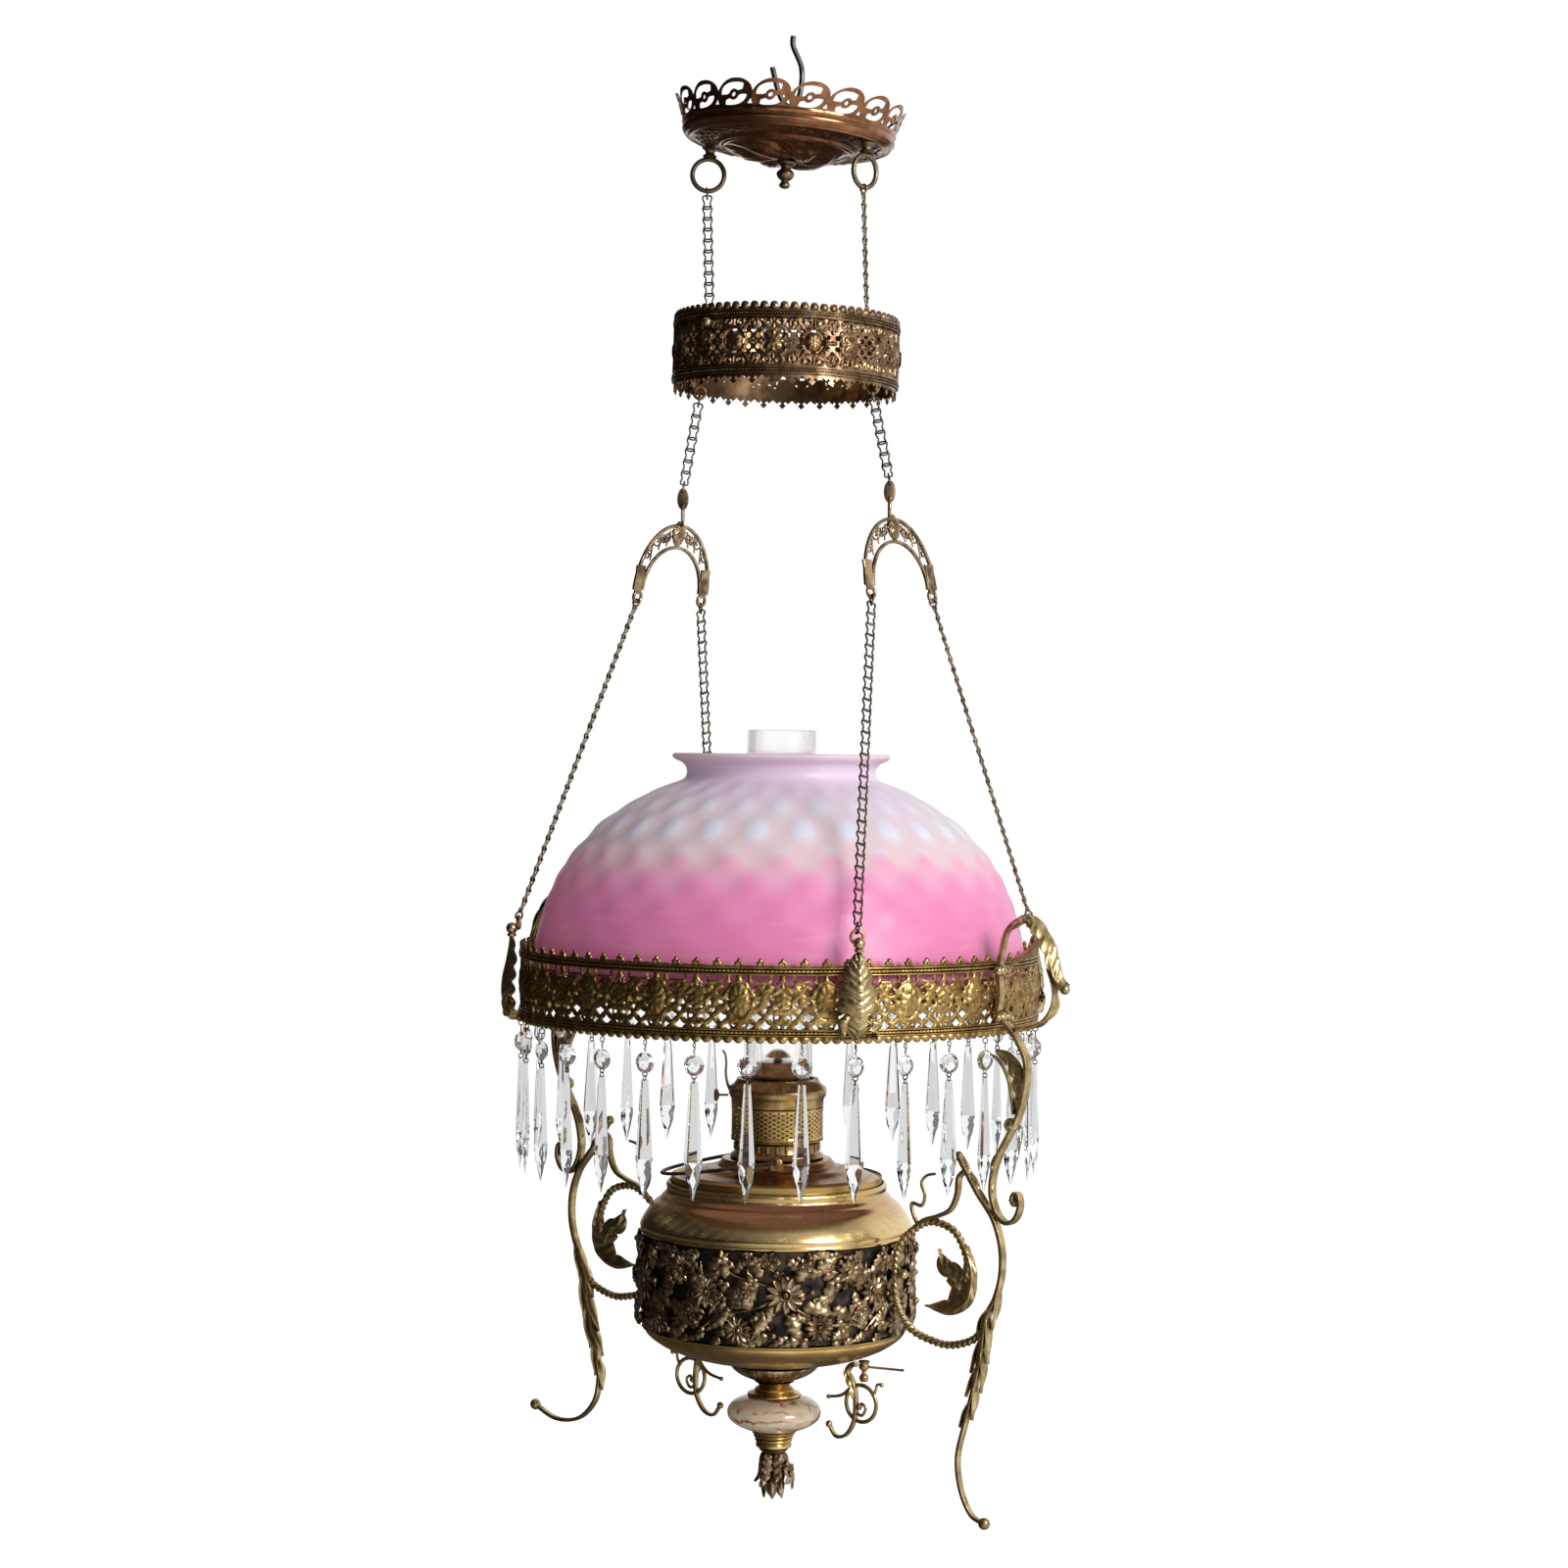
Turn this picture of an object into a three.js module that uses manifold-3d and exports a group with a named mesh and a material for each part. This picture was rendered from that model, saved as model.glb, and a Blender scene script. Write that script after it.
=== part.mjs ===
// A hanging oil lamp for a parlour or library: ceiling hook, pierced canopy, two chains to a pierced
// band, two more to a pair of filigree yokes, and four long chains to a wide pierced ring. The ring
// holds a quilted glass shade, a fringe of cut-glass spears and two scrolled arms. The arms carry the
// fount holder with its floral band, onyx knop and drop. Millimetres, +Z up, the viewer on the -Y side.
// The origin is the upper end of the hook, in the ceiling, and the lamp hangs down the Z axis.
import * as THREE from "three";
import { mergeVertices } from "three/addons/utils/BufferGeometryUtils.js";
import Module from "manifold-3d";

const wasm = await Module();
wasm.setup();

// Driving dimensions
const GAP = 0.3; // between pieces that touch
const WELD = 1; // how far joined shapes run into each other
const HOOK = { wire: 4, drop: 51, reach: 11 };
const CANOPY = { rim: 76, wall: 1.3, depth: 17, tilt: 4, hang: 22 };
const HANGER = { ring: 7, wire: 2.6, stem: 4, washer: 8, washerHeight: 2, play: 1.2 };
const GALLERY = { flare: 7.5, height: 23, wall: 1, petals: 16 };
const FINIAL = { radius: 6.5, height: 20 };
const EYE = { radius: 65.3, ring: 11.6, wire: 2.8, drop: 26, cap: 5, capHeight: 4 };
const CHAIN = { pitch: 16.4, width: 8.4, thickness: 1.8, rail: 1.5, rung: 2 }; // a pair of links
const LOOP = { width: 8.2, bar: 1.4, depth: 1.3, slot: 5.8, play: 0.6 };
const BAND = { below: 158.5, radius: 81.3, height: 57, wall: 1, tilt: 1.3, cells: 16, tooth: 3.4 };
const BAND_HOOK = { upper: 65.3, lower: 72, strap: 2.4, width: 7, eye: 4.2, wire: 2.4, inset: 5 };
const SEAM_BOLT = { turn: -131, head: 3.4, shank: 2, above: 15 };
const TAB = { below: 99.3, radius: 86, width: 8.5, height: 16, thickness: 2, hole: 3.4, margin: 3.9 };
const YOKE = { foot: 94.7, spread: 70, height: 50, thickness: 2.4, arch: 17.5 };
const YOKE_EYE = { size: 9.8, hole: 5.8, turn: 50, link: 7.4, linkWire: 2.2 };
const RING = { below: 258.8, radius: 186.3, wall: 1.3, height: 46, cells: 32, crown: 5 };
const LEDGE = { width: 14, thickness: 1.6, below: 17 };
const FRINGE = { count: 32, phase: -85, height: 8.5, bead: 7.2, pin: 0.9, spear: 80, width: 12.7 };
const FRINGE_DROP = { bead: 14, spear: 25.6 };
const SHADE = { inset: 8.5, height: 159, neck: 68.6, rim: 78.8, wall: 3.2, hobs: 16, relief: 1.6 };
const LEAF = { height: 61, reach: 20, width: 25, thickness: 2.6, ball: 4.6, eye: 4.2, wire: 2.4 };
const ARM_HOOK = { foot: 5.3, rise: 36, reach: 55, bar: 4.6, width: 9, ball: 3.6, boss: 4.4 };
const S_ARM = { foot: 37.5, drop: 131, bow: 26, bar: 4.6, width: 9, ball: 5.7, boss: 4.4 };
const BRACKET = { height: 218, bar: 4.4, width: 8, ball: 4.6, rope: 5, leaf: 14, tendril: 2.6 };
const BRACKET_NUT = { head: 3.6, below: 54 };
const HOLDER = { below: 34, wall: 1.2, lip: 77.8, roll: 99, shoulder: 36 };
const FLORAL = { radius: 97.6, relief: 6, wall: 1.2, height: 67, blooms: 14 };
const BOWL = { radius: 95.4, depth: 29, wall: 1.4 };
const CUP = { radius: 31.8, foot: 13.8, height: 12.5, flutes: 12, flute: 0.8 };
const NECK = { waist: 11, foot: 19.4, height: 11 };
const KNOP = { radius: 33.9, height: 25, seat: 17 };
const COLLAR = { top: 15.6, foot: 12.5, height: 12 };
const DROP = { radius: 15.6, height: 38, petals: 5, petal: 9, sheet: 1.6 };
const ROD = { diameter: 5, nut: 7, nutHeight: 3 };
const DROP_SCROLL = { radius: 71.4, ring: 13, wire: 3, bar: 2.4, width: 4, ball: 2.6 };
const VALVE = { turn: -24, radius: 70, boss: 4, height: 6, ball: 3.4, rod: 1.8, reach: 30 };
const FOUNT = { lip: 67, rise: 3, depth: 62, collar: 42.4, collarRise: 14 };
const BURNER = { ring: 30.4, ringHeight: 14, gallery: 33.2, galleryHeight: 23 };
const FLANGE = { radius: 35.4, height: 17, underside: 10 };
const MESH = { cells: 14, wall: 1 };
const DOME = { height: 15, top: 15, seat: 26.2, seatWidth: 3.4, seatHeight: 3 };
const SPREADER = { radius: 9, height: 6, stem: 3 };
const PRONG = { turn: 176, height: 22, bar: 1.6, width: 5, lean: 5 };
const KNOB = { turn: 184, radius: 4.2, length: 5, shaft: 1.6, reach: 5.5, above: 7.7 };
const CHIMNEY = { radius: 25, wall: 1.6, height: 254 };
const BAIL = { radius: 44, wire: 2.6, reach: 84, rise: 16, rest: 9.3, lug: 9, lugWall: 2 };

// Directions round the lamp's axis, in degrees from +X
const SUSPENSION_TURNS = { right: -30, left: 150 };
const ARM_TURNS = { right: -37, left: 143 };
const LEAF_TURNS = { front: -74.3, right: 15.7, back: 105.7, left: 195.7 };

// Numbers of faces
const SIDES = { fine: 20, middle: 16, small: 8, wire: 6, eye: 4 };

// Levels, from the ceiling down
const Z_BOW = -HOOK.drop;
const Z_RIM = Z_BOW - CANOPY.hang;
const Z_BAND = Z_RIM - BAND.below;
const Z_TAB = Z_BAND - TAB.below;
const Z_TAB_SEAT = Z_TAB - TAB.height / 2 + TAB.margin - TAB.hole / 2; // foot of the tab's lower hole
const Z_YOKE = Z_TAB_SEAT + 2 * GAP + YOKE_EYE.linkWire / 2; // where each yoke's link hangs
const Z_FEET = Z_YOKE - YOKE.height - 2 * YOKE_EYE.link;
const Z_RING = Z_FEET - RING.below; // the ring's top rail
const Z_SHADE = Z_RING - LEDGE.below; // where the shade stands
const Z_JOINT = Z_RING - S_ARM.foot - S_ARM.drop; // where each S-arm meets its scroll bracket
const Z_HOLDER = Z_JOINT - HOLDER.below; // top edge of the floral band
const Z_BOWL = Z_HOLDER - FLORAL.height; // rim of the bowl
const Z_CUP = Z_BOWL - BOWL.depth;
const Z_NECK = Z_CUP - CUP.height;
const Z_KNOP = Z_NECK - NECK.height;
const Z_COLLAR = Z_KNOP - KNOP.height;
const Z_DROP = Z_COLLAR - COLLAR.height;
const Z_LIP = Z_HOLDER + HOLDER.shoulder; // mouth of the holder
const Z_FOUNT = Z_LIP + FOUNT.rise; // top of the fount's flange
const Z_BURNER = Z_FOUNT + FOUNT.collarRise;
const Z_MESH = Z_BURNER + BURNER.ringHeight;
const Z_FLANGE = Z_MESH + BURNER.galleryHeight;
const Z_DOME = Z_FLANGE + FLANGE.height;

const metal = (name, color, roughness) => Object.assign(
  new THREE.MeshStandardMaterial({ color, roughness, metalness: 1 }), { name });
const IRON = metal("iron", 0x4b4b46, 0.6);
const COPPER = metal("coppered_brass", 0x9a6238, 0.4);
const BRASS = metal("antique_brass", 0x96783a, 0.42);
const BRONZE = metal("dark_bronze", 0x6e5a41, 0.5);
const GILT = metal("polished_brass", 0xa88640, 0.25);
const STEEL = metal("chain_metal", 0x46403a, 0.55);
const GLASS = new THREE.MeshStandardMaterial({ name: "clear_glass", color: 0xf2f6f6, roughness: 0.03 });
const CRYSTAL = new THREE.MeshStandardMaterial({ name: "cut_glass", color: 0xf6fafa, roughness: 0.02 });
const SATIN = new THREE.MeshStandardMaterial({ name: "satin_glass", color: 0xe282b9, roughness: 0.45 });
const ONYX = new THREE.MeshStandardMaterial({ name: "banded_onyx", color: 0xc8b496, roughness: 0.25 });

const rad = THREE.MathUtils.degToRad;
const lerp = THREE.MathUtils.lerp;
const polar = (radius, turn, z) =>
  new THREE.Vector3(radius * Math.cos(rad(turn)), radius * Math.sin(rad(turn)), z);

// Regular polygon of corners on the unit circle
const ngon = (sides, start = 0) => Array.from({ length: sides }, (_, i) => {
  const a = start + (2 * Math.PI * i) / sides;
  return [Math.cos(a), Math.sin(a)];
});
const ROUND = ngon(SIDES.wire);
const STRAP = ngon(4, Math.PI / 4).map(([x, y]) => [Math.sign(x), Math.sign(y)]);
const RIDGED = [[1, 0], [0, 1], [-1, 0.72], [-0.35, 0], [-1, -0.72], [0, -1]]; // a creased leaf

const scaled = (shares, width, height) => shares.map(([x, z]) => [x * width, z * height]);

// Merges the corners and turns the faces outwards
function closed(geometry) {
  const g = geometry.index ? geometry.clone() : geometry;
  for (const name of Object.keys(g.attributes)) {
    if (name !== "position") g.deleteAttribute(name);
  }
  const merged = mergeVertices(g, 1e-4);
  const p = merged.attributes.position;
  const index = Array.from(merged.index.array);
  const faces = [];
  let volume = 0;
  const [a, b, c] = [new THREE.Vector3(), new THREE.Vector3(), new THREE.Vector3()];
  for (let i = 0; i < index.length; i += 3) {
    const face = index.slice(i, i + 3);
    if (new Set(face).size < 3) continue;
    faces.push(face);
    [a, b, c].forEach((v, k) => v.fromBufferAttribute(p, face[k]));
    volume += a.dot(b.cross(c));
  }
  merged.setIndex(faces.flatMap((face) => (volume < 0 ? face.toReversed() : face)));
  return merged;
}

function solid(geometry) {
  const g = closed(geometry);
  const mesh = new wasm.Mesh({
    numProp: 3,
    vertProperties: new Float32Array(g.attributes.position.array),
    triVerts: new Uint32Array(g.index.array),
  });
  return new wasm.Manifold(mesh);
}

function surface(manifold) {
  const mesh = manifold.getMesh();
  const g = new THREE.BufferGeometry();
  g.setAttribute("position", new THREE.BufferAttribute(new Float32Array(mesh.vertProperties), 3));
  g.setIndex(new THREE.BufferAttribute(new Uint32Array(mesh.triVerts), 1));
  return g;
}

const join = (...shapes) => surface(shapes.map(solid).reduce((a, b) => a.add(b)));
const cut = (shape, ...tools) => surface(tools.map(solid).reduce((a, b) => a.subtract(b), solid(shape)));

// Skin over a row of rings with the same number of corners, capped at both ends or closed on itself
function loft(rings, loop = false) {
  const n = rings[0].length;
  const at = (i, k) => rings[(i + rings.length) % rings.length][(k + n) % n];
  const points = [];
  const add = (...corners) => corners.forEach((v) => points.push(v.x, v.y, v.z));
  for (let i = 0; i < rings.length - (loop ? 0 : 1); i++) {
    for (let k = 0; k < n; k++) {
      add(at(i, k), at(i + 1, k), at(i + 1, k + 1));
      add(at(i, k), at(i + 1, k + 1), at(i, k + 1));
    }
  }
  if (!loop) {
    for (let k = 1; k < n - 1; k++) {
      add(at(0, 0), at(0, k), at(0, k + 1));
      add(at(-1, 0), at(-1, k + 1), at(-1, k));
    }
  }
  const g = new THREE.BufferGeometry();
  g.setAttribute("position", new THREE.Float32BufferAttribute(points, 3));
  return closed(g);
}

// A bar in the X-Z plane. Its corners are shares of two half sizes, which size(t) gives along it:
// across the curve, and sideways.
function bar(path, steps, corners, size) {
  const curve = new THREE.SplineCurve(path.map(([x, z]) => new THREE.Vector2(x, z)));
  return loft(Array.from({ length: steps + 1 }, (_, i) => {
    const t = i / steps;
    const p = curve.getPointAt(t);
    const d = curve.getTangentAt(t);
    const [across, side] = size(t);
    return corners.map(([u, v]) =>
      new THREE.Vector3(p.x + d.y * u * across, v * side, p.y - d.x * u * across));
  }));
}

// A turned shape: a closed outline of [radius, z] spun round the Z axis
function turned(outline, sides) {
  const ends = outline[0][0] === 0 && outline.at(-1)[0] === 0;
  const points = (ends ? outline : [...outline, outline[0]]).map(([r, z]) => new THREE.Vector2(r, z));
  return closed(new THREE.LatheGeometry(points, sides).rotateX(Math.PI / 2));
}

// Gives an open outline a wall on the side that its left hand points to
function walled(outline, wall) {
  const points = outline.map(([x, z]) => new THREE.Vector2(x, z));
  const inner = points.map((p, i) => {
    const before = points[Math.max(i - 1, 0)];
    const after = points[Math.min(i + 1, points.length - 1)];
    const d = after.clone().sub(before).normalize();
    return [p.x - d.y * wall, p.y + d.x * wall];
  });
  const kept = inner.filter((_, i) => i % 2 === 0 || i === inner.length - 1);
  return [...outline, ...kept.reverse()];
}

// The flat of a faceted wall lies inside its corners
const flatRadius = (radius, sides) => radius * Math.cos(Math.PI / sides);

const ball = (radius, x, y, z) =>
  closed(new THREE.SphereGeometry(radius, SIDES.wire, SIDES.eye).rotateX(Math.PI / 2).translate(x, y, z));
const rod = (radius, length, x, y, z) =>
  new THREE.CylinderGeometry(radius, radius, length, SIDES.wire).rotateX(Math.PI / 2).translate(x, y, z);
// A wire ring standing in the X-Z plane
const wireRing = (radius, wire, sides = SIDES.small) =>
  new THREE.TorusGeometry(radius, wire / 2, SIDES.eye, sides).rotateX(Math.PI / 2);

// A flat plate in the X-Z plane, pierced by holes
function slab(outline, thickness) {
  const shape = new THREE.Shape(outline.map(([x, z]) => new THREE.Vector2(x, z)));
  const g = new THREE.ExtrudeGeometry(shape, { depth: thickness, bevelEnabled: false });
  return g.translate(0, 0, -thickness / 2).rotateX(Math.PI / 2);
}
const plate = (outline, holes, thickness) =>
  cut(slab(outline, thickness), ...holes.map((hole) => slab(hole, thickness + 2 * WELD)));

// A thin wall of cells round the axis, each with one hole. The cell's edge and its hole have the
// same number of corners, as shares of the cell, and place(column, share, face) gives the point.
function lattice(columns, cell, place) {
  const n = cell.edge.length;
  const points = [];
  const add = (...corners) => corners.forEach((v) => points.push(v.x, v.y, v.z));
  const quad = (a, b, c, d) => {
    add(a, b, c);
    add(a, c, d);
  };
  for (let column = 0; column < columns; column++) {
    const at = (list, k, face) => place((column + list[k % n][0]) % columns, list[k % n][1], face);
    for (let k = 0; k < n; k++) {
      const [e0, e1] = [at(cell.edge, k, 0), at(cell.edge, k + 1, 0)];
      const [h0, h1] = [at(cell.hole, k, 0), at(cell.hole, k + 1, 0)];
      const [f0, f1] = [at(cell.edge, k, 1), at(cell.edge, k + 1, 1)];
      const [g0, g1] = [at(cell.hole, k, 1), at(cell.hole, k + 1, 1)];
      quad(e0, e1, h1, h0);
      quad(f1, f0, g0, g1);
      quad(h0, h1, g1, g0);
      if (cell.edge[k][0] !== cell.edge[(k + 1) % n][0]) quad(e1, e0, f0, f1);
    }
  }
  const g = new THREE.BufferGeometry();
  g.setAttribute("position", new THREE.Float32BufferAttribute(points, 3));
  return closed(g);
}

const CROWNED = {
  edge: [[0, 0], [1, 0], [1, 1], [0.5, 1], [0, 1]],
  hole: [[0.22, 0.18], [0.78, 0.18], [0.84, 0.66], [0.5, 0.86], [0.16, 0.66]],
};
const TOOTHED = {
  edge: [[0, 0], [0.5, 0], [1, 0], [1, 1], [0.5, 1], [0, 1]],
  hole: [[0.2, 0.3], [0.5, 0.14], [0.8, 0.3], [0.8, 0.7], [0.5, 0.86], [0.2, 0.7]],
};
const MESHED = {
  edge: [[0, 0], [1, 0], [1, 1], [0, 1]],
  hole: [[0.5, 0.12], [0.88, 0.5], [0.5, 0.88], [0.12, 0.5]],
};

// One toothed, pierced hoop: radius at the foot and the top, teeth above and below
function hoop(cell, { cells, foot, top, wall, height, crown = 0, hem = 0, phase = 0, lean = 0 }) {
  const place = (column, share, face) => {
    const tip = (column % 1 === 0.5);
    const z = share * height + (tip && share === 1 ? crown : 0) - (tip && share === 0 ? hem : 0);
    const turn = phase + (360 * (column + lean * share)) / cells;
    return polar(lerp(foot, top, share) - face * wall, turn, z);
  };
  return lattice(cells, cell, place);
}

const lamp = new THREE.Group();
function piece(name, geometry, material, parent) {
  const mesh = new THREE.Mesh(geometry, material);
  mesh.name = name;
  parent.add(mesh);
  return mesh;
}
function frameAt(parent, { x = 0, y = 0, z = 0, turn = 0, tilt = 0 } = {}) {
  const group = new THREE.Group();
  group.rotation.order = "ZYX";
  group.position.set(x, y, z);
  group.rotation.set(0, rad(tilt), rad(turn));
  parent.add(group);
  group.updateWorldMatrix(true, false);
  return group;
}
const places = {}; // where each chain hooks on, in the lamp's frame

// The iron hook

const HOOK_SHARES = [[-0.15, 0], [0.25, 0.15], [0.8, 0.45], [0.78, 0.75], [0.5, 0.94], [0.14, 1],
  [-0.3, 0.96], [-0.72, 0.77], [-1.1, 0.45]];
function ceilingHook() {
  const path = scaled(HOOK_SHARES, HOOK.reach, -HOOK.drop);
  path[0][0] = path[1][0];
  return bar(path, 14, ROUND, () => [HOOK.wire / 2, HOOK.wire / 2]);
}
piece("ceiling_hook", ceilingHook(), IRON, lamp);

// The canopy hangs a little askew from the hook

const canopy = frameAt(lamp, { z: Z_RIM, tilt: CANOPY.tilt });
const DISH_SHARES = [[1, 0], [0.97, 0.16], [0.87, 0.34], [0.72, 0.4], [0.6, 0.55], [0.47, 0.62],
  [0.38, 0.8], [0.17, 0.97]];

function canopyDish() {
  const bore = HANGER.stem / 2 + GAP;
  const under = [...scaled(DISH_SHARES, CANOPY.rim, -CANOPY.depth), [bore, -CANOPY.depth]];
  return turned(walled(under.reverse(), CANOPY.wall), SIDES.fine);
}

// Depth of the dish's underside at a radius
function dishDepth(radius) {
  const share = radius / CANOPY.rim;
  const k = DISH_SHARES.findIndex(([r]) => r <= share);
  const [[r0, d0], [r1, d1]] = [DISH_SHARES[k - 1], DISH_SHARES[k]];
  return lerp(d0, d1, (share - r0) / (r1 - r0)) * CANOPY.depth;
}

function canopyHanger() {
  const ringZ = CANOPY.hang + HOOK.wire / 2 + HANGER.play + HANGER.wire / 2 - HANGER.ring;
  const washerFoot = -CANOPY.depth + CANOPY.wall + 2 * GAP;
  const stemTop = ringZ - HANGER.ring;
  const stemFoot = -CANOPY.depth - FINIAL.height / 2;
  const eye = wireRing(HANGER.ring, HANGER.wire, SIDES.small).rotateZ(Math.PI / 2).translate(0, 0, ringZ);
  const stem = rod(HANGER.stem / 2, stemTop - stemFoot, 0, 0, (stemTop + stemFoot) / 2);
  const washer = rod(HANGER.washer / 2, HANGER.washerHeight, 0, 0, washerFoot + HANGER.washerHeight / 2);
  return join(eye, stem, washer);
}

const FINIAL_SHARES = [[1, 0], [1, 0.12], [0.62, 0.2], [0.62, 0.34], [1, 0.48], [0.9, 0.62], [0.5, 0.72],
  [0.62, 0.86], [0.4, 0.97], [0, 1]];
function canopyFinial() {
  const socket = HANGER.stem / 2 + GAP;
  const floor = FINIAL.height / 2 + WELD;
  const outline = scaled(FINIAL_SHARES, FINIAL.radius, -FINIAL.height);
  const g = turned([[0, -floor], [socket, -floor], [socket, 0], ...outline], SIDES.small);
  return g.translate(0, 0, -CANOPY.depth - GAP);
}

function screwEye(turn) {
  const top = -dishDepth(EYE.radius - EYE.cap) - GAP;
  const foot = -EYE.drop + EYE.ring - EYE.wire / 2;
  const ring = wireRing(EYE.ring, EYE.wire, 2 * SIDES.wire).translate(0, 0, -EYE.drop);
  const cap = rod(EYE.cap, EYE.capHeight, 0, 0, top - EYE.capHeight / 2);
  const shank = rod(EYE.wire / 2, top - foot, 0, 0, (top + foot) / 2);
  const at = polar(EYE.radius, turn, 0);
  return join(ring, cap, shank).translate(at.x, at.y, 0);
}

const canopyGallery = hoop(CROWNED, {
  cells: GALLERY.petals, foot: CANOPY.rim, top: CANOPY.rim + GALLERY.flare, wall: GALLERY.wall,
  height: GALLERY.height * 0.8, crown: GALLERY.height * 0.2, lean: 0.5,
});
piece("canopy_hanger", canopyHanger(), COPPER, canopy);
piece("canopy_dish", canopyDish(), COPPER, canopy);
piece("canopy_gallery", canopyGallery.translate(0, 0, CANOPY.wall + GAP), COPPER, canopy);
piece("canopy_finial", canopyFinial(), COPPER, canopy);
for (const [side, turn] of Object.entries(SUSPENSION_TURNS)) {
  piece(`screw_eye_${side}`, screwEye(turn), COPPER, canopy);
  places[`eye_${side}`] = canopy.localToWorld(polar(EYE.radius, turn, -EYE.drop - EYE.ring));
}

// The pierced band that spreads the chains, hung a little askew

const band = frameAt(lamp, { z: Z_BAND, tilt: BAND.tilt });
piece("chain_band", hoop(TOOTHED, {
  cells: BAND.cells, foot: BAND.radius, top: BAND.radius, wall: BAND.wall, height: BAND.height,
  crown: BAND.tooth, hem: BAND.tooth,
}).translate(0, 0, -BAND.height / 2), BRONZE, band);

// A strap on the inside of the band with an eye above for one chain and an eye below for the next
function bandHook(turn) {
  const seat = flatRadius(BAND.radius - BAND.wall, 2 * BAND.cells) - GAP - BAND_HOOK.strap / 2;
  const top = BAND.height / 2 - BAND_HOOK.inset;
  const half = BAND_HOOK.eye;
  const path = [[BAND_HOOK.upper + half, top], [lerp(BAND_HOOK.upper, seat, 0.8), top * 0.8],
    [seat, top * 0.4], [seat, -top * 0.4], [lerp(BAND_HOOK.lower, seat, 0.6), -top * 0.8],
    [BAND_HOOK.lower + half, -top]];
  const strap = bar(path, 10, STRAP, () => [BAND_HOOK.strap / 2, BAND_HOOK.width / 2]);
  const eyes = [[BAND_HOOK.upper, top], [BAND_HOOK.lower, -top]].map(([x, z]) =>
    wireRing(BAND_HOOK.eye, BAND_HOOK.wire).rotateZ(rad(-turn)).translate(x, 0, z));
  return join(strap, ...eyes);
}

function seamBolt() {
  const head = ball(SEAM_BOLT.head, SEAM_BOLT.head + GAP, 0, 0);
  const shank = rod(SEAM_BOLT.shank / 2, SEAM_BOLT.head, 0, 0, 0).rotateY(Math.PI / 2);
  return join(head, shank.translate(SEAM_BOLT.head / 2 + GAP, 0, 0));
}

for (const [side, turn] of Object.entries(SUSPENSION_TURNS)) {
  const arm = frameAt(band, { turn });
  piece(`band_hook_${side}`, bandHook(turn), BRONZE, arm);
  const top = BAND.height / 2 - BAND_HOOK.inset;
  const rise = top + BAND_HOOK.eye;
  places[`band_top_${side}`] = arm.localToWorld(new THREE.Vector3(BAND_HOOK.upper, 0, rise));
  places[`band_foot_${side}`] = arm.localToWorld(new THREE.Vector3(BAND_HOOK.lower, 0, -rise));
}
const seam = frameAt(band, { turn: SEAM_BOLT.turn });
piece("band_seam_bolt", seamBolt().translate(BAND.radius, 0, SEAM_BOLT.above), BRONZE, seam);

// Ladder chain between two wires: flat links in a row, and a closed link at each end round the wire

function endLink() {
  const [x, z] = [LOOP.width / 2, LOOP.slot + 2 * LOOP.bar];
  const [u, v] = [x - LOOP.bar, LOOP.bar];
  const corners = (a, low, high) => [[-a, low], [a, low], [a, high], [-a, high]];
  return plate(corners(x, 0, z), [corners(u, v, z - v)], LOOP.depth).rotateZ(Math.PI / 2);
}

function ladder(length) {
  const count = Math.max(Math.round(length / CHAIN.pitch), 1);
  const pitch = length / count;
  const [x, u] = [CHAIN.width / 2, CHAIN.width / 2 - CHAIN.rail];
  const slots = Array.from({ length: count }, (_, i) => {
    const [low, high] = [-(i + 1) * pitch + CHAIN.rung / 2, -i * pitch - CHAIN.rung / 2];
    return [[-u, low], [-u, high], [u, high], [u, low]];
  });
  const [top, foot] = [CHAIN.rung / 2, -length - CHAIN.rung / 2];
  return plate([[-x, foot], [x, foot], [x, top], [-x, top]], slots, CHAIN.thickness);
}

// Hangs between the wires at two points; across is the direction that the flat links face along
function chain(name, from, wireFrom, to, wireTo, across, parent) {
  const down = to.clone().sub(from);
  const length = down.length();
  const inset = LOOP.slot - wireFrom / 2 - LOOP.play;
  const foot = length - (LOOP.slot - wireTo / 2 - LOOP.play);
  const lower = endLink().rotateX(Math.PI).translate(0, 0, -foot + LOOP.bar);
  const upper = endLink().translate(0, 0, -inset - LOOP.bar);
  const links = ladder(foot - inset - CHAIN.rung / 2 - LOOP.bar / 2);
  const body = join(upper, links.translate(0, 0, -inset - LOOP.bar / 2 - CHAIN.rung / 4), lower);
  const z = down.clone().normalize().negate();
  const x = across.clone().addScaledVector(z, -across.dot(z)).normalize();
  const basis = new THREE.Matrix4().makeBasis(x, z.clone().cross(x), z).setPosition(from);
  const mesh = piece(name, body, STEEL, parent);
  mesh.position.setFromMatrixPosition(basis);
  mesh.quaternion.setFromRotationMatrix(basis);
}

const FACING = new THREE.Vector3(1, 0, 0);
for (const side of Object.keys(SUSPENSION_TURNS)) {
  const [from, to] = [places[`eye_${side}`], places[`band_top_${side}`]];
  chain(`upper_chain_${side}`, from, EYE.wire, to, BAND_HOOK.wire, FACING, lamp);
}

// Oval tabs and the filigree yokes

const ELLIPSE = ngon(8);
function chainTab() {
  const reach = TAB.height / 2 - TAB.margin;
  const hole = scaled(STRAP, TAB.hole / 2, TAB.hole / 2);
  const holes = [reach, -reach].map((rise) => hole.map(([x, z]) => [x, z + rise]));
  return plate(scaled(ELLIPSE, TAB.width / 2, TAB.height / 2), holes, TAB.thickness);
}

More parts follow.
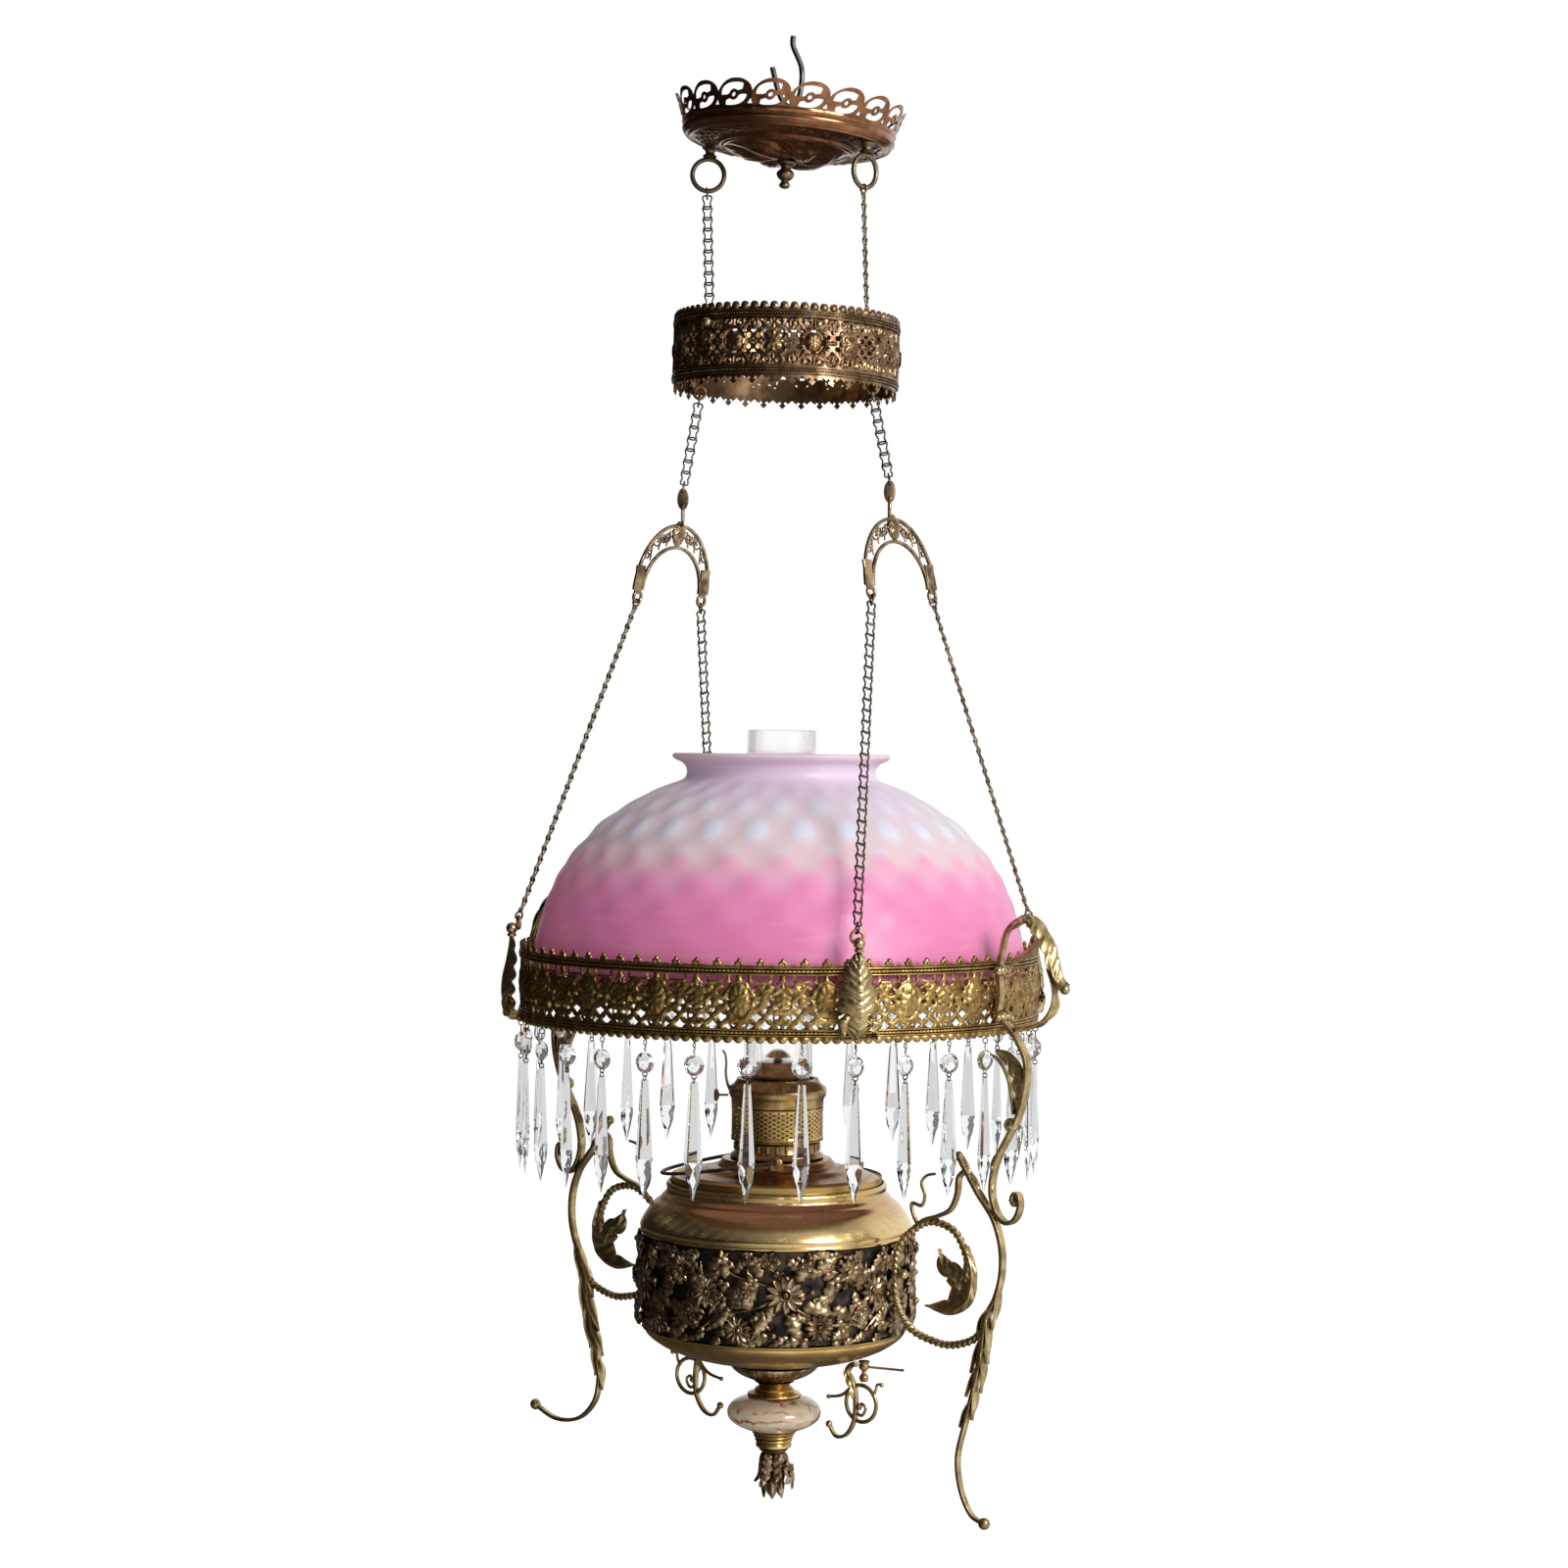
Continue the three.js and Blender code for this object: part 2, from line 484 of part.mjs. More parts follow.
function crescent(turnShare, inset) {
  const a = Math.PI * turnShare;
  const outer = [YOKE.spread / 2 + YOKE_EYE.size / 2, YOKE.height];
  const inner = [YOKE.spread / 2 - YOKE_EYE.size / 2, YOKE.height - YOKE.arch];
  return [lerp(outer[0], inner[0], inset) * Math.cos(a), lerp(outer[1], inner[1], inset) * Math.sin(a)];
}

function yoke() {
  const steps = 12;
  const shares = Array.from({ length: steps + 1 }, (_, i) => i / steps);
  const foot = -YOKE_EYE.size;
  const [out, inn] = [crescent(0, 0)[0], crescent(0, 1)[0]];
  const outline = [...shares.map((s) => crescent(s, 0)), [-out, foot], [-inn, foot],
    ...shares.toReversed().map((s) => crescent(s, 1)), [inn, foot], [out, foot]];
  const scrolls = [2, 3.5, 5, 7, 8.5, 10].map((k) => [
    crescent((k - 0.5) / steps, 0.25), crescent((k + 0.5) / steps, 0.25),
    crescent((k + 0.4) / steps, 0.72), crescent((k - 0.4) / steps, 0.72)]);
  const eyes = [1, -1].map((sign) => scaled(STRAP, YOKE_EYE.hole / 2, YOKE_EYE.hole / 2)
    .map(([x, z]) => [x + (sign * YOKE.spread) / 2, z + foot / 2]));
  const body = plate(outline, [...scrolls, ...eyes], YOKE.thickness);
  return body.translate(0, 0, -YOKE.height - 2 * YOKE_EYE.link);
}

// The chains pull the feet outwards, so each yoke leans
const yokeLean = THREE.MathUtils.radToDeg(Math.asin((YOKE.foot - TAB.radius) / YOKE.height));
for (const [side, turn] of Object.entries(SUSPENSION_TURNS)) {
  const head = polar(TAB.radius, turn, Z_YOKE);
  const flip = side === "right" ? 0 : 180;
  const turned90 = frameAt(lamp, { ...head, turn: YOKE_EYE.turn + flip + 90, tilt: 0 });
  const leaning = new THREE.Group();
  leaning.rotation.set(0, rad(yokeLean), 0);
  turned90.add(leaning);
  leaning.updateWorldMatrix(true, false);
  const facing = new THREE.Group();
  facing.rotation.z = -Math.PI / 2;
  leaning.add(facing);
  facing.updateWorldMatrix(true, false);
  const link = wireRing(YOKE_EYE.link, YOKE_EYE.linkWire).rotateZ(rad(90 - YOKE_EYE.turn - flip));
  piece(`yoke_${side}`, join(yoke(), link.translate(0, 0, -YOKE_EYE.link)), BRONZE, facing);
  const footRim = Z_FEET - Z_YOKE - YOKE_EYE.size * 0.75 - YOKE_EYE.hole * 0.25;
  const foot = (x) => facing.localToWorld(new THREE.Vector3(x, 0, footRim));
  places[`foot_${side}_front`] = foot(-YOKE.spread / 2);
  places[`foot_${side}_back`] = foot(YOKE.spread / 2);
  const tabAt = polar(TAB.radius, turn, Z_TAB);
  const tab = frameAt(lamp, { ...tabAt });
  piece(`chain_tab_${side}`, chainTab(), BRONZE, tab);
  const rim = TAB.margin - TAB.hole / 2;
  const tabTop = tabAt.clone().setZ(tabAt.z + TAB.height / 2 - rim / 2);
  chain(`mid_chain_${side}`, places[`band_foot_${side}`], BAND_HOOK.wire, tabTop, rim, FACING, lamp);
}

// The shade ring with its ledge, its fringe and the four leaf brackets

const ring = frameAt(lamp, { z: Z_RING });
piece("shade_ring", hoop(CROWNED, {
  cells: RING.cells, foot: RING.radius, top: RING.radius, wall: RING.wall, height: RING.height,
  crown: RING.crown,
}).translate(0, 0, -RING.height), BRASS, ring);

function ringLedge() {
  const outer = RING.radius - RING.wall - GAP;
  const inner = outer - LEDGE.width;
  const [top, foot] = [-LEDGE.below - GAP, -LEDGE.below - GAP - LEDGE.thickness];
  return turned([[inner, foot], [outer, foot], [outer, top], [inner, top]], RING.cells);
}
piece("ring_ledge", ringLedge(), BRASS, ring);

// One string: a pin, a cut bead and a long spear, square in section
function crystalString() {
  const stations = [
    [FRINGE.pin, WELD], [FRINGE.bead, -FRINGE_DROP.bead], [FRINGE.pin, -FRINGE_DROP.spear],
    [FRINGE.width / 2, -FRINGE_DROP.spear - FRINGE.spear * 0.68],
    [FRINGE.pin / 2, -FRINGE_DROP.spear - FRINGE.spear],
  ];
  const square = ngon(4);
  return loft(stations.map(([r, z]) => square.map(([x, y]) => new THREE.Vector3(x * r, y * r, z))));
}

// The strip along the ring's lower edge, with the strings hung from it
function prismFringe() {
  const steps = FRINGE.count;
  const level = (radius, z) => Array.from({ length: steps }, (_, i) =>
    polar(radius, FRINGE.phase + (360 * i) / steps, z));
  const [top, hem] = [-RING.height - GAP, -RING.height - FRINGE.height];
  const inner = RING.radius - 2 * RING.wall;
  const rings = [level(inner, top), level(RING.radius, top), level(RING.radius, hem), level(inner, hem)];
  const strings = Array.from({ length: FRINGE.count }, (_, i) => {
    const turn = FRINGE.phase + (360 * i) / FRINGE.count;
    const at = polar((RING.radius + inner) / 2, turn, hem);
    return crystalString().rotateZ(rad(turn)).translate(at.x, at.y, at.z);
  });
  return join(loft(rings, true), ...strings);
}
piece("prism_fringe", prismFringe(), CRYSTAL, ring);

// An acanthus leaf stands off the ring, its foot on the wall and a ball and an eye at its head
const LEAF_SHARES = [[0, -0.69], [0.72, -0.68], [1, -0.5], [0.86, -0.29], [0.54, 0.02], [0.45, 0.3]];
function leafBracket() {
  const path = scaled(LEAF_SHARES, LEAF.reach, LEAF.height);
  const width = (t) => (LEAF.width / 2) * Math.max(Math.sin(Math.PI * Math.min(t * 1.15, 1)) ** 0.7, 0.16)
    * (1 + 0.14 * Math.cos(10 * Math.PI * t));
  const leaf = bar(path, 8, RIDGED, (t) => [LEAF.thickness / 2, width(t)]);
  const [x, z] = path.at(-1);
  const eye = wireRing(LEAF.eye, LEAF.wire, SIDES.wire).rotateZ(Math.PI / 2);
  return join(leaf, ball(LEAF.ball, x, 0, z), eye.translate(x - LEAF.ball, 0, z + LEAF.ball / 2));
}
for (const [side, turn] of Object.entries(LEAF_TURNS)) {
  const leaf = frameAt(ring, { turn });
  const seat = RING.radius + GAP;
  piece(`leaf_bracket_${side}`, leafBracket().translate(seat, 0, 0), BRASS, leaf);
  const [x, z] = scaled(LEAF_SHARES, LEAF.reach, LEAF.height).at(-1);
  places[`leaf_${side}`] = leaf.localToWorld(
    new THREE.Vector3(seat + x - LEAF.ball, 0, z + LEAF.ball / 2 + LEAF.eye));
}

const LOWER_CHAINS = {
  front: "foot_right_front", right: "foot_right_back", back: "foot_left_front", left: "foot_left_back",
};
for (const [side, foot] of Object.entries(LOWER_CHAINS)) {
  const along = polar(1, YOKE_EYE.turn, 0);
  const round = polar(1, LEAF_TURNS[side] + 90, 0);
  const flat = round.addScaledVector(along, Math.sign(round.dot(along))).normalize();
  chain(`lower_chain_${side}`, places[foot], YOKE.thickness, places[`leaf_${side}`], LEAF.wire, flat, lamp);
}

// The arms: a leafy hook loop above the ring and an S-shaped strap below it

const ARM_HOOK_SHARES = [[0.04, 0], [0.08, 0.42], [0.16, 0.78], [0.36, 1], [0.56, 0.97], [0.68, 0.76],
  [0.8, 0.48], [0.86, 0.16], [0.92, -0.14], [1, -0.28]];
const HOOK_LEAF_SHARES = [[0.66, 0.8], [0.56, 0.62], [0.42, 0.42], [0.36, 0.2]];
function ringHook() {
  const path = scaled(ARM_HOOK_SHARES, ARM_HOOK.reach, ARM_HOOK.rise);
  const width = (t) => (ARM_HOOK.width / 2) * (1 + 0.9 * Math.exp(-(((t - 0.72) / 0.14) ** 2)));
  const loop = bar(path, 11, RIDGED, (t) => [(ARM_HOOK.bar / 2) * lerp(1, 0.7, t), width(t)]);
  const curl = scaled(HOOK_LEAF_SHARES, ARM_HOOK.reach, ARM_HOOK.rise);
  const leaf = bar(curl, 4, STRAP, (t) => [ARM_HOOK.bar / 2, ARM_HOOK.width * lerp(0.7, 0.3, t)]);
  const [x, z] = path.at(-1);
  const boss = ball(ARM_HOOK.boss, ARM_HOOK.boss, 0, 0);
  return join(loop, leaf, boss, ball(ARM_HOOK.ball, x, 0, z));
}

const S_ARM_SHARES = [[0.1, 0], [0.45, 0.05], [0.78, 0.13], [1, 0.23], [0.97, 0.37], [0.76, 0.51],
  [0.52, 0.6], [0.2, 0.71], [0.02, 0.81], [-0.04, 0.92], [0.16, 1.03], [0.44, 1.07], [0.64, 1.02]];
function sArm() {
  const path = scaled(S_ARM_SHARES, S_ARM.bow, -S_ARM.drop);
  const strap = bar(path, 18, STRAP, (t) => [S_ARM.bar / 2, (S_ARM.width / 2) * lerp(1, 0.8, t)]);
  const [x, z] = path.at(-1);
  return join(strap, ball(S_ARM.boss, S_ARM.boss, 0, 0), ball(S_ARM.ball, x, 0, z));
}

// The scroll brackets: a long leg, a rope ring with an acanthus leaf, and a tendril.
// Shares run from the holder's wall to the S-arm, and from the S-arm's end down to the leg's tip.

const LEG_SHARES = [[0.717, -0.149], [0.912, -0.045], [1.001, -0.007], [1.095, 0.039], [1.169, 0.116],
  [1.177, 0.2], [1.12, 0.28], [1.01, 0.361], [0.939, 0.517], [0.817, 0.679]];
const LEG_TIP_SHARES = {
  right: [[0.729, 0.802], [0.765, 0.903], [0.878, 0.978], [1.019, 1]],
  left: [[0.8, 0.75], [0.86, 0.83], [1.06, 0.895], [1.35, 0.91], [1.629, 0.874]],
};
const ROPE_SHARES = [[0.99, 0.39], [0.86, 0.428], [0.655, 0.451], [0.476, 0.449], [0.21, 0.42],
  [0.046, 0.346], [0.02, 0.254], [0.06, 0.158], [0.271, 0.086], [0.459, 0.067], [0.68, 0.094],
  [0.808, 0.177], [0.77, 0.245]];
const LEAF_CURL_SHARES = [[0.79, 0.225], [0.69, 0.286], [0.494, 0.3], [0.257, 0.323]];
const LEAF_LOBE_SHARES = [[0.62, 0.295], [0.556, 0.213], [0.502, 0.148]];
const TENDRIL_SHARES = [[0.271, 0.086], [0.21, 0.05], [0.197, 0.015], [0.302, 0.018], [0.336, -0.014],
  [0.297, -0.053], [0.354, -0.079], [0.45, -0.088]];

const jointRadius = RING.radius + GAP - 0.04 * S_ARM.bow;
const holderSeat = FLORAL.radius + FLORAL.relief + GAP;

function scrollBracket(side) {
  const back = jointRadius - S_ARM.bar / 2 - BRACKET.bar / 2 - GAP - holderSeat;
  const route = (shares) => shares.map(([u, v]) => [holderSeat + u * back, -v * BRACKET.height]);
  const legPath = route([...LEG_SHARES, ...LEG_TIP_SHARES[side]]);
  const leg = bar(legPath, 17, STRAP, (t) => {
    const swell = 1 + 0.9 * Math.exp(-(((t - 0.48) / 0.13) ** 2));
    return [(BRACKET.bar / 2) * swell * lerp(1, 0.75, t), (BRACKET.width / 2) * lerp(1, 0.6, t)];
  });
  const half = BRACKET.rope / 2;
  const rope = bar(route(ROPE_SHARES), 16, ngon(5), () => [half, half]);
  const leafSize = (t) => [(BRACKET.leaf / 4) * lerp(1, 0.3, t), (BRACKET.leaf / 2) * lerp(1, 0.25, t)];
  const curl = bar(route(LEAF_CURL_SHARES), 5, RIDGED, leafSize);
  const lobe = bar(route(LEAF_LOBE_SHARES), 3, STRAP, leafSize);
  const wire = BRACKET.tendril / 2;
  const tendril = bar(route(TENDRIL_SHARES), 9, STRAP, () => [wire, wire]);
  const [x, z] = legPath.at(-1);
  return join(leg, rope, curl, lobe, tendril, ball(BRACKET.ball, x, 0, z));
}

// The nut lies on the rope ring, where the ring touches the holder's wall
function bracketNut() {
  const back = jointRadius - S_ARM.bar / 2 - BRACKET.bar / 2 - GAP - holderSeat;
  const x = holderSeat + 0.02 * back + BRACKET.rope / 2 + GAP + BRACKET_NUT.head;
  return ball(BRACKET_NUT.head, x, 0, -BRACKET_NUT.below);
}

for (const [side, turn] of Object.entries(ARM_TURNS)) {
  const arm = frameAt(ring, { turn });
  const wall = RING.radius + GAP;
  piece(`ring_hook_${side}`, ringHook().translate(wall, 0, -ARM_HOOK.foot), BRASS, arm);
  piece(`s_arm_${side}`, sArm().translate(wall, 0, -S_ARM.foot), BRASS, arm);
  const joint = frameAt(lamp, { z: Z_JOINT, turn });
  piece(`scroll_bracket_${side}`, scrollBracket(side), BRASS, joint);
  piece(`bracket_nut_${side}`, bracketNut(), BRASS, joint);
}

// The glass shade, quilted with staggered rows of hobs

const SHADE_SHARES = [[1, 0], [0.985, 0.17], [0.935, 0.35], [0.85, 0.52], [0.72, 0.68], [0.56, 0.8],
  [0.4, 0.885]];
function shade() {
  const steps = SHADE.hobs * 2;
  const fitter = RING.radius - SHADE.inset;
  const level = (radius, z, hob) => Array.from({ length: steps }, (_, i) =>
    polar(radius + (hob === null || i % 2 !== hob ? 0 : SHADE.relief), (360 * i) / steps, z));
  const outer = SHADE_SHARES.map(([r, h], row) =>
    level(r * fitter - (row ? SHADE.relief : 0), h * SHADE.height, row > 0 ? row % 2 : null));
  const neck = [[SHADE.neck, 0.915], [SHADE.rim, 1]].map(([r, h]) => level(r, h * SHADE.height, null));
  const inside = [[SHADE.rim - SHADE.wall, 1], [SHADE.neck - SHADE.wall, 0.9]]
    .map(([r, h]) => level(r, h * SHADE.height, null));
  const lining = [6, 4, 2, 0].map((row) => SHADE_SHARES[row])
    .map(([r, h]) => [r * fitter - SHADE.wall - SHADE.relief, h * (SHADE.height - SHADE.wall)])
    .map(([radius, z]) => level(radius, z, null));
  return loft([...outer, ...neck, ...inside, ...lining], true);
}
piece("shade", shade().translate(0, 0, Z_SHADE), SATIN, lamp);

// The fount holder

const holder = frameAt(lamp, { z: Z_HOLDER });
const SHOULDER_SHARES = [[0, 1], [0.12, 0.9], [0.24, 0.68], [0.58, 0.5], [0.82, 0.28], [1, 0.12],
  [0.96, 0]];
function holderShoulder() {
  const path = SHOULDER_SHARES.map(([u, v]) =>
    [lerp(HOLDER.lip, HOLDER.roll, u), GAP + v * HOLDER.shoulder]);
  return turned(walled(path, -HOLDER.wall), SIDES.fine);
}

// Blossoms and leaves stand out of the band in a staggered relief
function floralBand() {
  const steps = FLORAL.blooms * 2;
  const rows = 4;
  const level = (row, inside) => Array.from({ length: steps }, (_, i) => {
    const bloom = !inside && row > 0 && row < rows && (i + row) % 2 === 0;
    return polar(FLORAL.radius + (bloom ? FLORAL.relief : 0) - (inside ? FLORAL.wall : 0),
      ARM_TURNS.right + (360 * (i + 1)) / steps, (-row / rows) * FLORAL.height);
  });
  const outer = Array.from({ length: rows + 1 }, (_, row) => level(row, false));
  return loft([...outer, level(rows, true), level(0, true)], true);
}

const rodBore = ROD.diameter / 2 + GAP;
const BOWL_SHARES = [[1, 0], [0.99, 0.08], [0.93, 0.3], [0.78, 0.62], [0.55, 0.86], [0.33, 0.97]];
function holderBowl() {
  const outer = BOWL_SHARES.map(([r, h]) => [r * BOWL.radius, -GAP - h * BOWL.depth]);
  return turned(walled([...outer, [rodBore, -BOWL.depth]], -BOWL.wall), SIDES.fine);
}

function leafCup() {
  const steps = CUP.flutes * 2;
  const level = (radius, z, fluted) => Array.from({ length: steps }, (_, i) =>
    polar(radius * (fluted && i % 2 ? 1 - CUP.flute / CUP.foot : 1), (360 * i) / steps, z));
  const foot = -CUP.height + GAP;
  return loft([
    level(rodBore, -GAP * 2, false), level(CUP.radius * 0.96, -GAP * 2, true),
    level(lerp(CUP.foot, CUP.radius, 0.6), -CUP.height * 0.6, true),
    level(CUP.foot, foot, false), level(rodBore, foot, false)], true);
}

// A turned bead on the tie rod, from radii and shares of its height
function spool(outline, height) {
  const [top, foot] = [-GAP / 2, -height + GAP / 2];
  const points = outline.map(([r, share]) => [r, lerp(top, foot, share)]);
  return turned([...points, [rodBore, foot], [rodBore, top]], SIDES.middle);
}

const NECK_OUTLINE = [[NECK.waist * 1.25, 0], [NECK.waist, 0.12], [NECK.waist * 1.3, 0.5],
  [NECK.foot * 0.9, 0.68], [NECK.foot, 0.85], [NECK.foot * 0.92, 1]];
const KNOP_OUTLINE = [[KNOP.seat, 0], [KNOP.radius * 0.85, 0.12], [KNOP.radius, 0.38],
  [KNOP.radius * 0.96, 0.62], [KNOP.radius * 0.7, 0.85], [KNOP.seat * 0.9, 1]];
const COLLAR_OUTLINE = [[COLLAR.top, 0], [COLLAR.top * 1.04, 0.2], [COLLAR.top * 0.88, 0.35],
  [COLLAR.top * 0.9, 0.6], [COLLAR.foot, 1]];

// The drop: a turned stem in a ring of curling leaves
const PETAL_SHARES = [[0.35, 0.12], [0.8, 0.4], [0.75, 0.62], [1, 0.86]];
function flowerDrop() {
  const z = (share) => -GAP / 2 - share * DROP.height;
  const core = turned([[0, z(0.25)], [rodBore, z(0.25)], [rodBore, z(0)], [COLLAR.foot * 0.85, z(0)],
    [COLLAR.foot * 0.6, z(0.5)], [0, z(1)]], SIDES.small);
  const leaves = Array.from({ length: DROP.petals }, (_, i) => {
    const path = PETAL_SHARES.map(([r, v]) => [r * DROP.radius, z(v)]);
    return bar(path, 3, STRAP, (t) => [DROP.sheet / 2, (DROP.petal / 2) * lerp(1, 0.25, t)])
      .rotateZ((2 * Math.PI * i) / DROP.petals);
  });
  const boss = DROP.radius * 0.5;
  const ringStem = turned([[0, z(0.12)], [boss, z(0.12)], [boss, z(0.2)], [0, z(0.2)]], SIDES.small);
  return cut(join(core, ringStem, ...leaves), rod(rodBore, DROP.height * 0.4, 0, 0, z(0)));
}

// The rod through the foot pieces, from a nut inside the bowl to the drop
function tieRod() {
  const seat = Z_CUP + BOWL.wall + 2 * GAP;
  const top = seat + ROD.nutHeight + ROD.diameter;
  const foot = Z_DROP - DROP.height * 0.15;
  const nut = rod(ROD.nut, ROD.nutHeight, 0, 0, seat + ROD.nutHeight / 2);
  return join(rod(ROD.diameter / 2, top - foot, 0, 0, (top + foot) / 2), nut);
}

piece("holder_shoulder", holderShoulder(), GILT, holder);
piece("floral_band", floralBand(), BRONZE, holder);
piece("holder_bowl", holderBowl().translate(0, 0, -FLORAL.height), GILT, holder);
piece("leaf_cup", leafCup().translate(0, 0, Z_CUP), BRASS, lamp);
piece("neck_collar", spool(NECK_OUTLINE, NECK.height).translate(0, 0, Z_NECK), GILT, lamp);
piece("onyx_knop", spool(KNOP_OUTLINE, KNOP.height).translate(0, 0, Z_KNOP), ONYX, lamp);
piece("lower_collar", spool(COLLAR_OUTLINE, COLLAR.height).translate(0, 0, Z_COLLAR), GILT, lamp);
piece("flower_drop", flowerDrop().translate(0, 0, Z_DROP), BRONZE, lamp);
piece("tie_rod", tieRod(), IRON, lamp);

// Small scroll drops under the bowl, in line with the arms

const SCROLL_STEM_SHARES = [[-0.25, 0], [-0.55, -0.5], [-0.2, -0.9], [0, -1.3], [0.1, -2.2],
  [0, -3.1], [-0.5, -3.9], [-1.2, -4.1], [-1.7, -3.5]];
const SCROLL_TIP_SHARES = [[-0.08, -1.05], [-1, -1.8], [-1.75, -2]];
function dropScroll() {
  const unit = DROP_SCROLL.ring;
  const half = [DROP_SCROLL.bar / 2, DROP_SCROLL.width / 2];
  const stem = bar(scaled(SCROLL_STEM_SHARES, unit, unit), 10, STRAP, () => half);
  const tip = bar(scaled(SCROLL_TIP_SHARES, unit, unit), 3, STRAP, () => half);
  const loop = wireRing(unit, DROP_SCROLL.wire, 2 * SIDES.wire).translate(unit * 0.45, 0, -unit * 2.1);
  const [x, z] = scaled(SCROLL_STEM_SHARES, unit, unit).at(-1);
  return join(stem, tip, loop, ball(DROP_SCROLL.ball, x, 0, z));
}

// Depth of the bowl's outside at a radius
function bowlDepth(radius) {
  const share = radius / BOWL.radius;
  const k = Math.max(BOWL_SHARES.findIndex(([r]) => r <= share), 1);
  const [[r0, d0], [r1, d1]] = [BOWL_SHARES[k - 1], BOWL_SHARES[k]];
  return lerp(d0, d1, (share - r0) / (r1 - r0)) * BOWL.depth;
}

for (const [side, turn] of Object.entries(ARM_TURNS)) {
  const root = DROP_SCROLL.radius - DROP_SCROLL.ring * 0.5 - DROP_SCROLL.bar / 2;
  const under = Z_BOWL - bowlDepth(root) - GAP;
  const hung = frameAt(lamp, { z: under, turn });
  piece(`drop_scroll_${side}`, dropScroll().translate(DROP_SCROLL.radius, 0, 0), BRASS, hung);
}

// The drain valve: a boss, a hanging ball and a thin lever rod
function drainValve() {
  const boss = rod(VALVE.boss, VALVE.height, 0, 0, -VALVE.height / 2);
  const stem = rod(VALVE.rod, VALVE.height, 0, 0, -VALVE.height * 1.2);
  const lever = rod(VALVE.rod / 2, VALVE.reach, 0, 0, 0).rotateY(Math.PI / 2);
  return join(boss, stem, ball(VALVE.ball, 0, 0, -VALVE.height * 2),
    lever.translate(VALVE.reach / 2, 0, -VALVE.height * 0.7));
}
const valveTop = Z_BOWL - bowlDepth(VALVE.radius - VALVE.boss) - 2 * GAP;
const valve = frameAt(lamp, { z: valveTop, turn: VALVE.turn });
piece("drain_valve", drainValve().translate(VALVE.radius, 0, 0), BRASS, valve);

// The fount drops into the holder, and carries the burner

function oilFount() {
  const body = HOLDER.lip - HOLDER.wall - GAP;
  const tank = turned([
    [0, -FOUNT.depth], [body * 0.82, -FOUNT.depth], [body, -FOUNT.depth * 0.86],
    [body, 0], [FOUNT.lip, FOUNT.rise], [FOUNT.collar * 1.15, FOUNT.collarRise * 0.45],
    [FOUNT.collar, FOUNT.collarRise * 0.7], [FOUNT.collar * 0.9, FOUNT.collarRise], [0, FOUNT.collarRise]],
  SIDES.fine);
  const lugY = BAIL.radius - BAIL.wire / 2 - GAP - BAIL.lugWall / 2;
  const lugs = [1, -1].map((side) => {
    const height = BAIL.rise + BAIL.wire;
    return new THREE.BoxGeometry(BAIL.lug, BAIL.lugWall, height).translate(0, side * lugY, height / 2);
  });
  return join(tank, ...lugs);
}

function burnerBase() {
  const top = BURNER.ringHeight;
  const core = BURNER.ring * 0.82;
  const roof = top + BURNER.galleryHeight;
  return turned([
    [0, GAP], [BURNER.ring * 1.12, GAP], [BURNER.ring * 1.12, top * 0.12], [BURNER.ring, top * 0.3],
    [BURNER.ring, top * 0.8], [BURNER.gallery, top * 0.92], [BURNER.gallery, top], [core, top],
    [core, roof - WELD], [0, roof - WELD]], SIDES.middle);
}

const burnerGallery = hoop(MESHED, {
  cells: MESH.cells, foot: BURNER.gallery, top: BURNER.gallery, wall: MESH.wall,
  height: BURNER.galleryHeight - 2 * GAP,
});

// A plain collar and a flange stand on the mesh, then the dome with a step for the chimney
function burnerDome() {
  const inner = DOME.seat - DOME.seatWidth;
  const step = FLANGE.height + DOME.seatHeight;
  const top = FLANGE.height + DOME.height;
  const dome = turned([
    [0, GAP], [BURNER.gallery, GAP], [BURNER.gallery, FLANGE.underside], [FLANGE.radius, FLANGE.underside],
    [FLANGE.radius, FLANGE.height], [DOME.seat + DOME.seatWidth, step], [DOME.seat, step],
    [DOME.seat, FLANGE.height], [inner, FLANGE.height], [inner * 0.9, lerp(FLANGE.height, top, 0.5)],
    [DOME.top, top], [0, top]], SIDES.middle);
  const path = [[FLANGE.radius - PRONG.bar, lerp(FLANGE.underside, FLANGE.height, 0.5)],
    [FLANGE.radius, lerp(FLANGE.height, FLANGE.height + PRONG.height, 0.5)],
    [FLANGE.radius + PRONG.lean, FLANGE.height + PRONG.height]];
  const prong = bar(path, 4, STRAP, () => [PRONG.bar / 2, PRONG.width / 2]);
  return join(dome, prong.rotateZ(rad(PRONG.turn)));
}

function flameSpreader() {
  const top = SPREADER.stem + SPREADER.height;
  const cap = turned([[0, SPREADER.stem], [SPREADER.radius, SPREADER.stem],
    [SPREADER.radius, lerp(SPREADER.stem, top, 0.3)], [SPREADER.radius * 0.5, top], [0, top]], SIDES.small);
  return join(cap, rod(SPREADER.stem, SPREADER.stem + WELD, 0, 0, (SPREADER.stem + WELD) / 2 + GAP));
}

function wickKnob() {
  const shaft = rod(KNOB.shaft / 2, KNOB.reach + WELD, 0, 0, 0).rotateY(Math.PI / 2);
  const grip = rod(KNOB.radius, KNOB.length, 0, 0, 0).rotateY(Math.PI / 2);
  const out = KNOB.reach + KNOB.length / 2;
  return join(shaft.translate((KNOB.reach + WELD) / 2, 0, 0), grip.translate(out, 0, 0));
}

function chimney() {
  const [outer, inner] = [CHIMNEY.radius, CHIMNEY.radius - CHIMNEY.wall];
  return turned([[inner, 0], [outer, 0], [outer, CHIMNEY.height], [inner, CHIMNEY.height]], SIDES.middle);
}

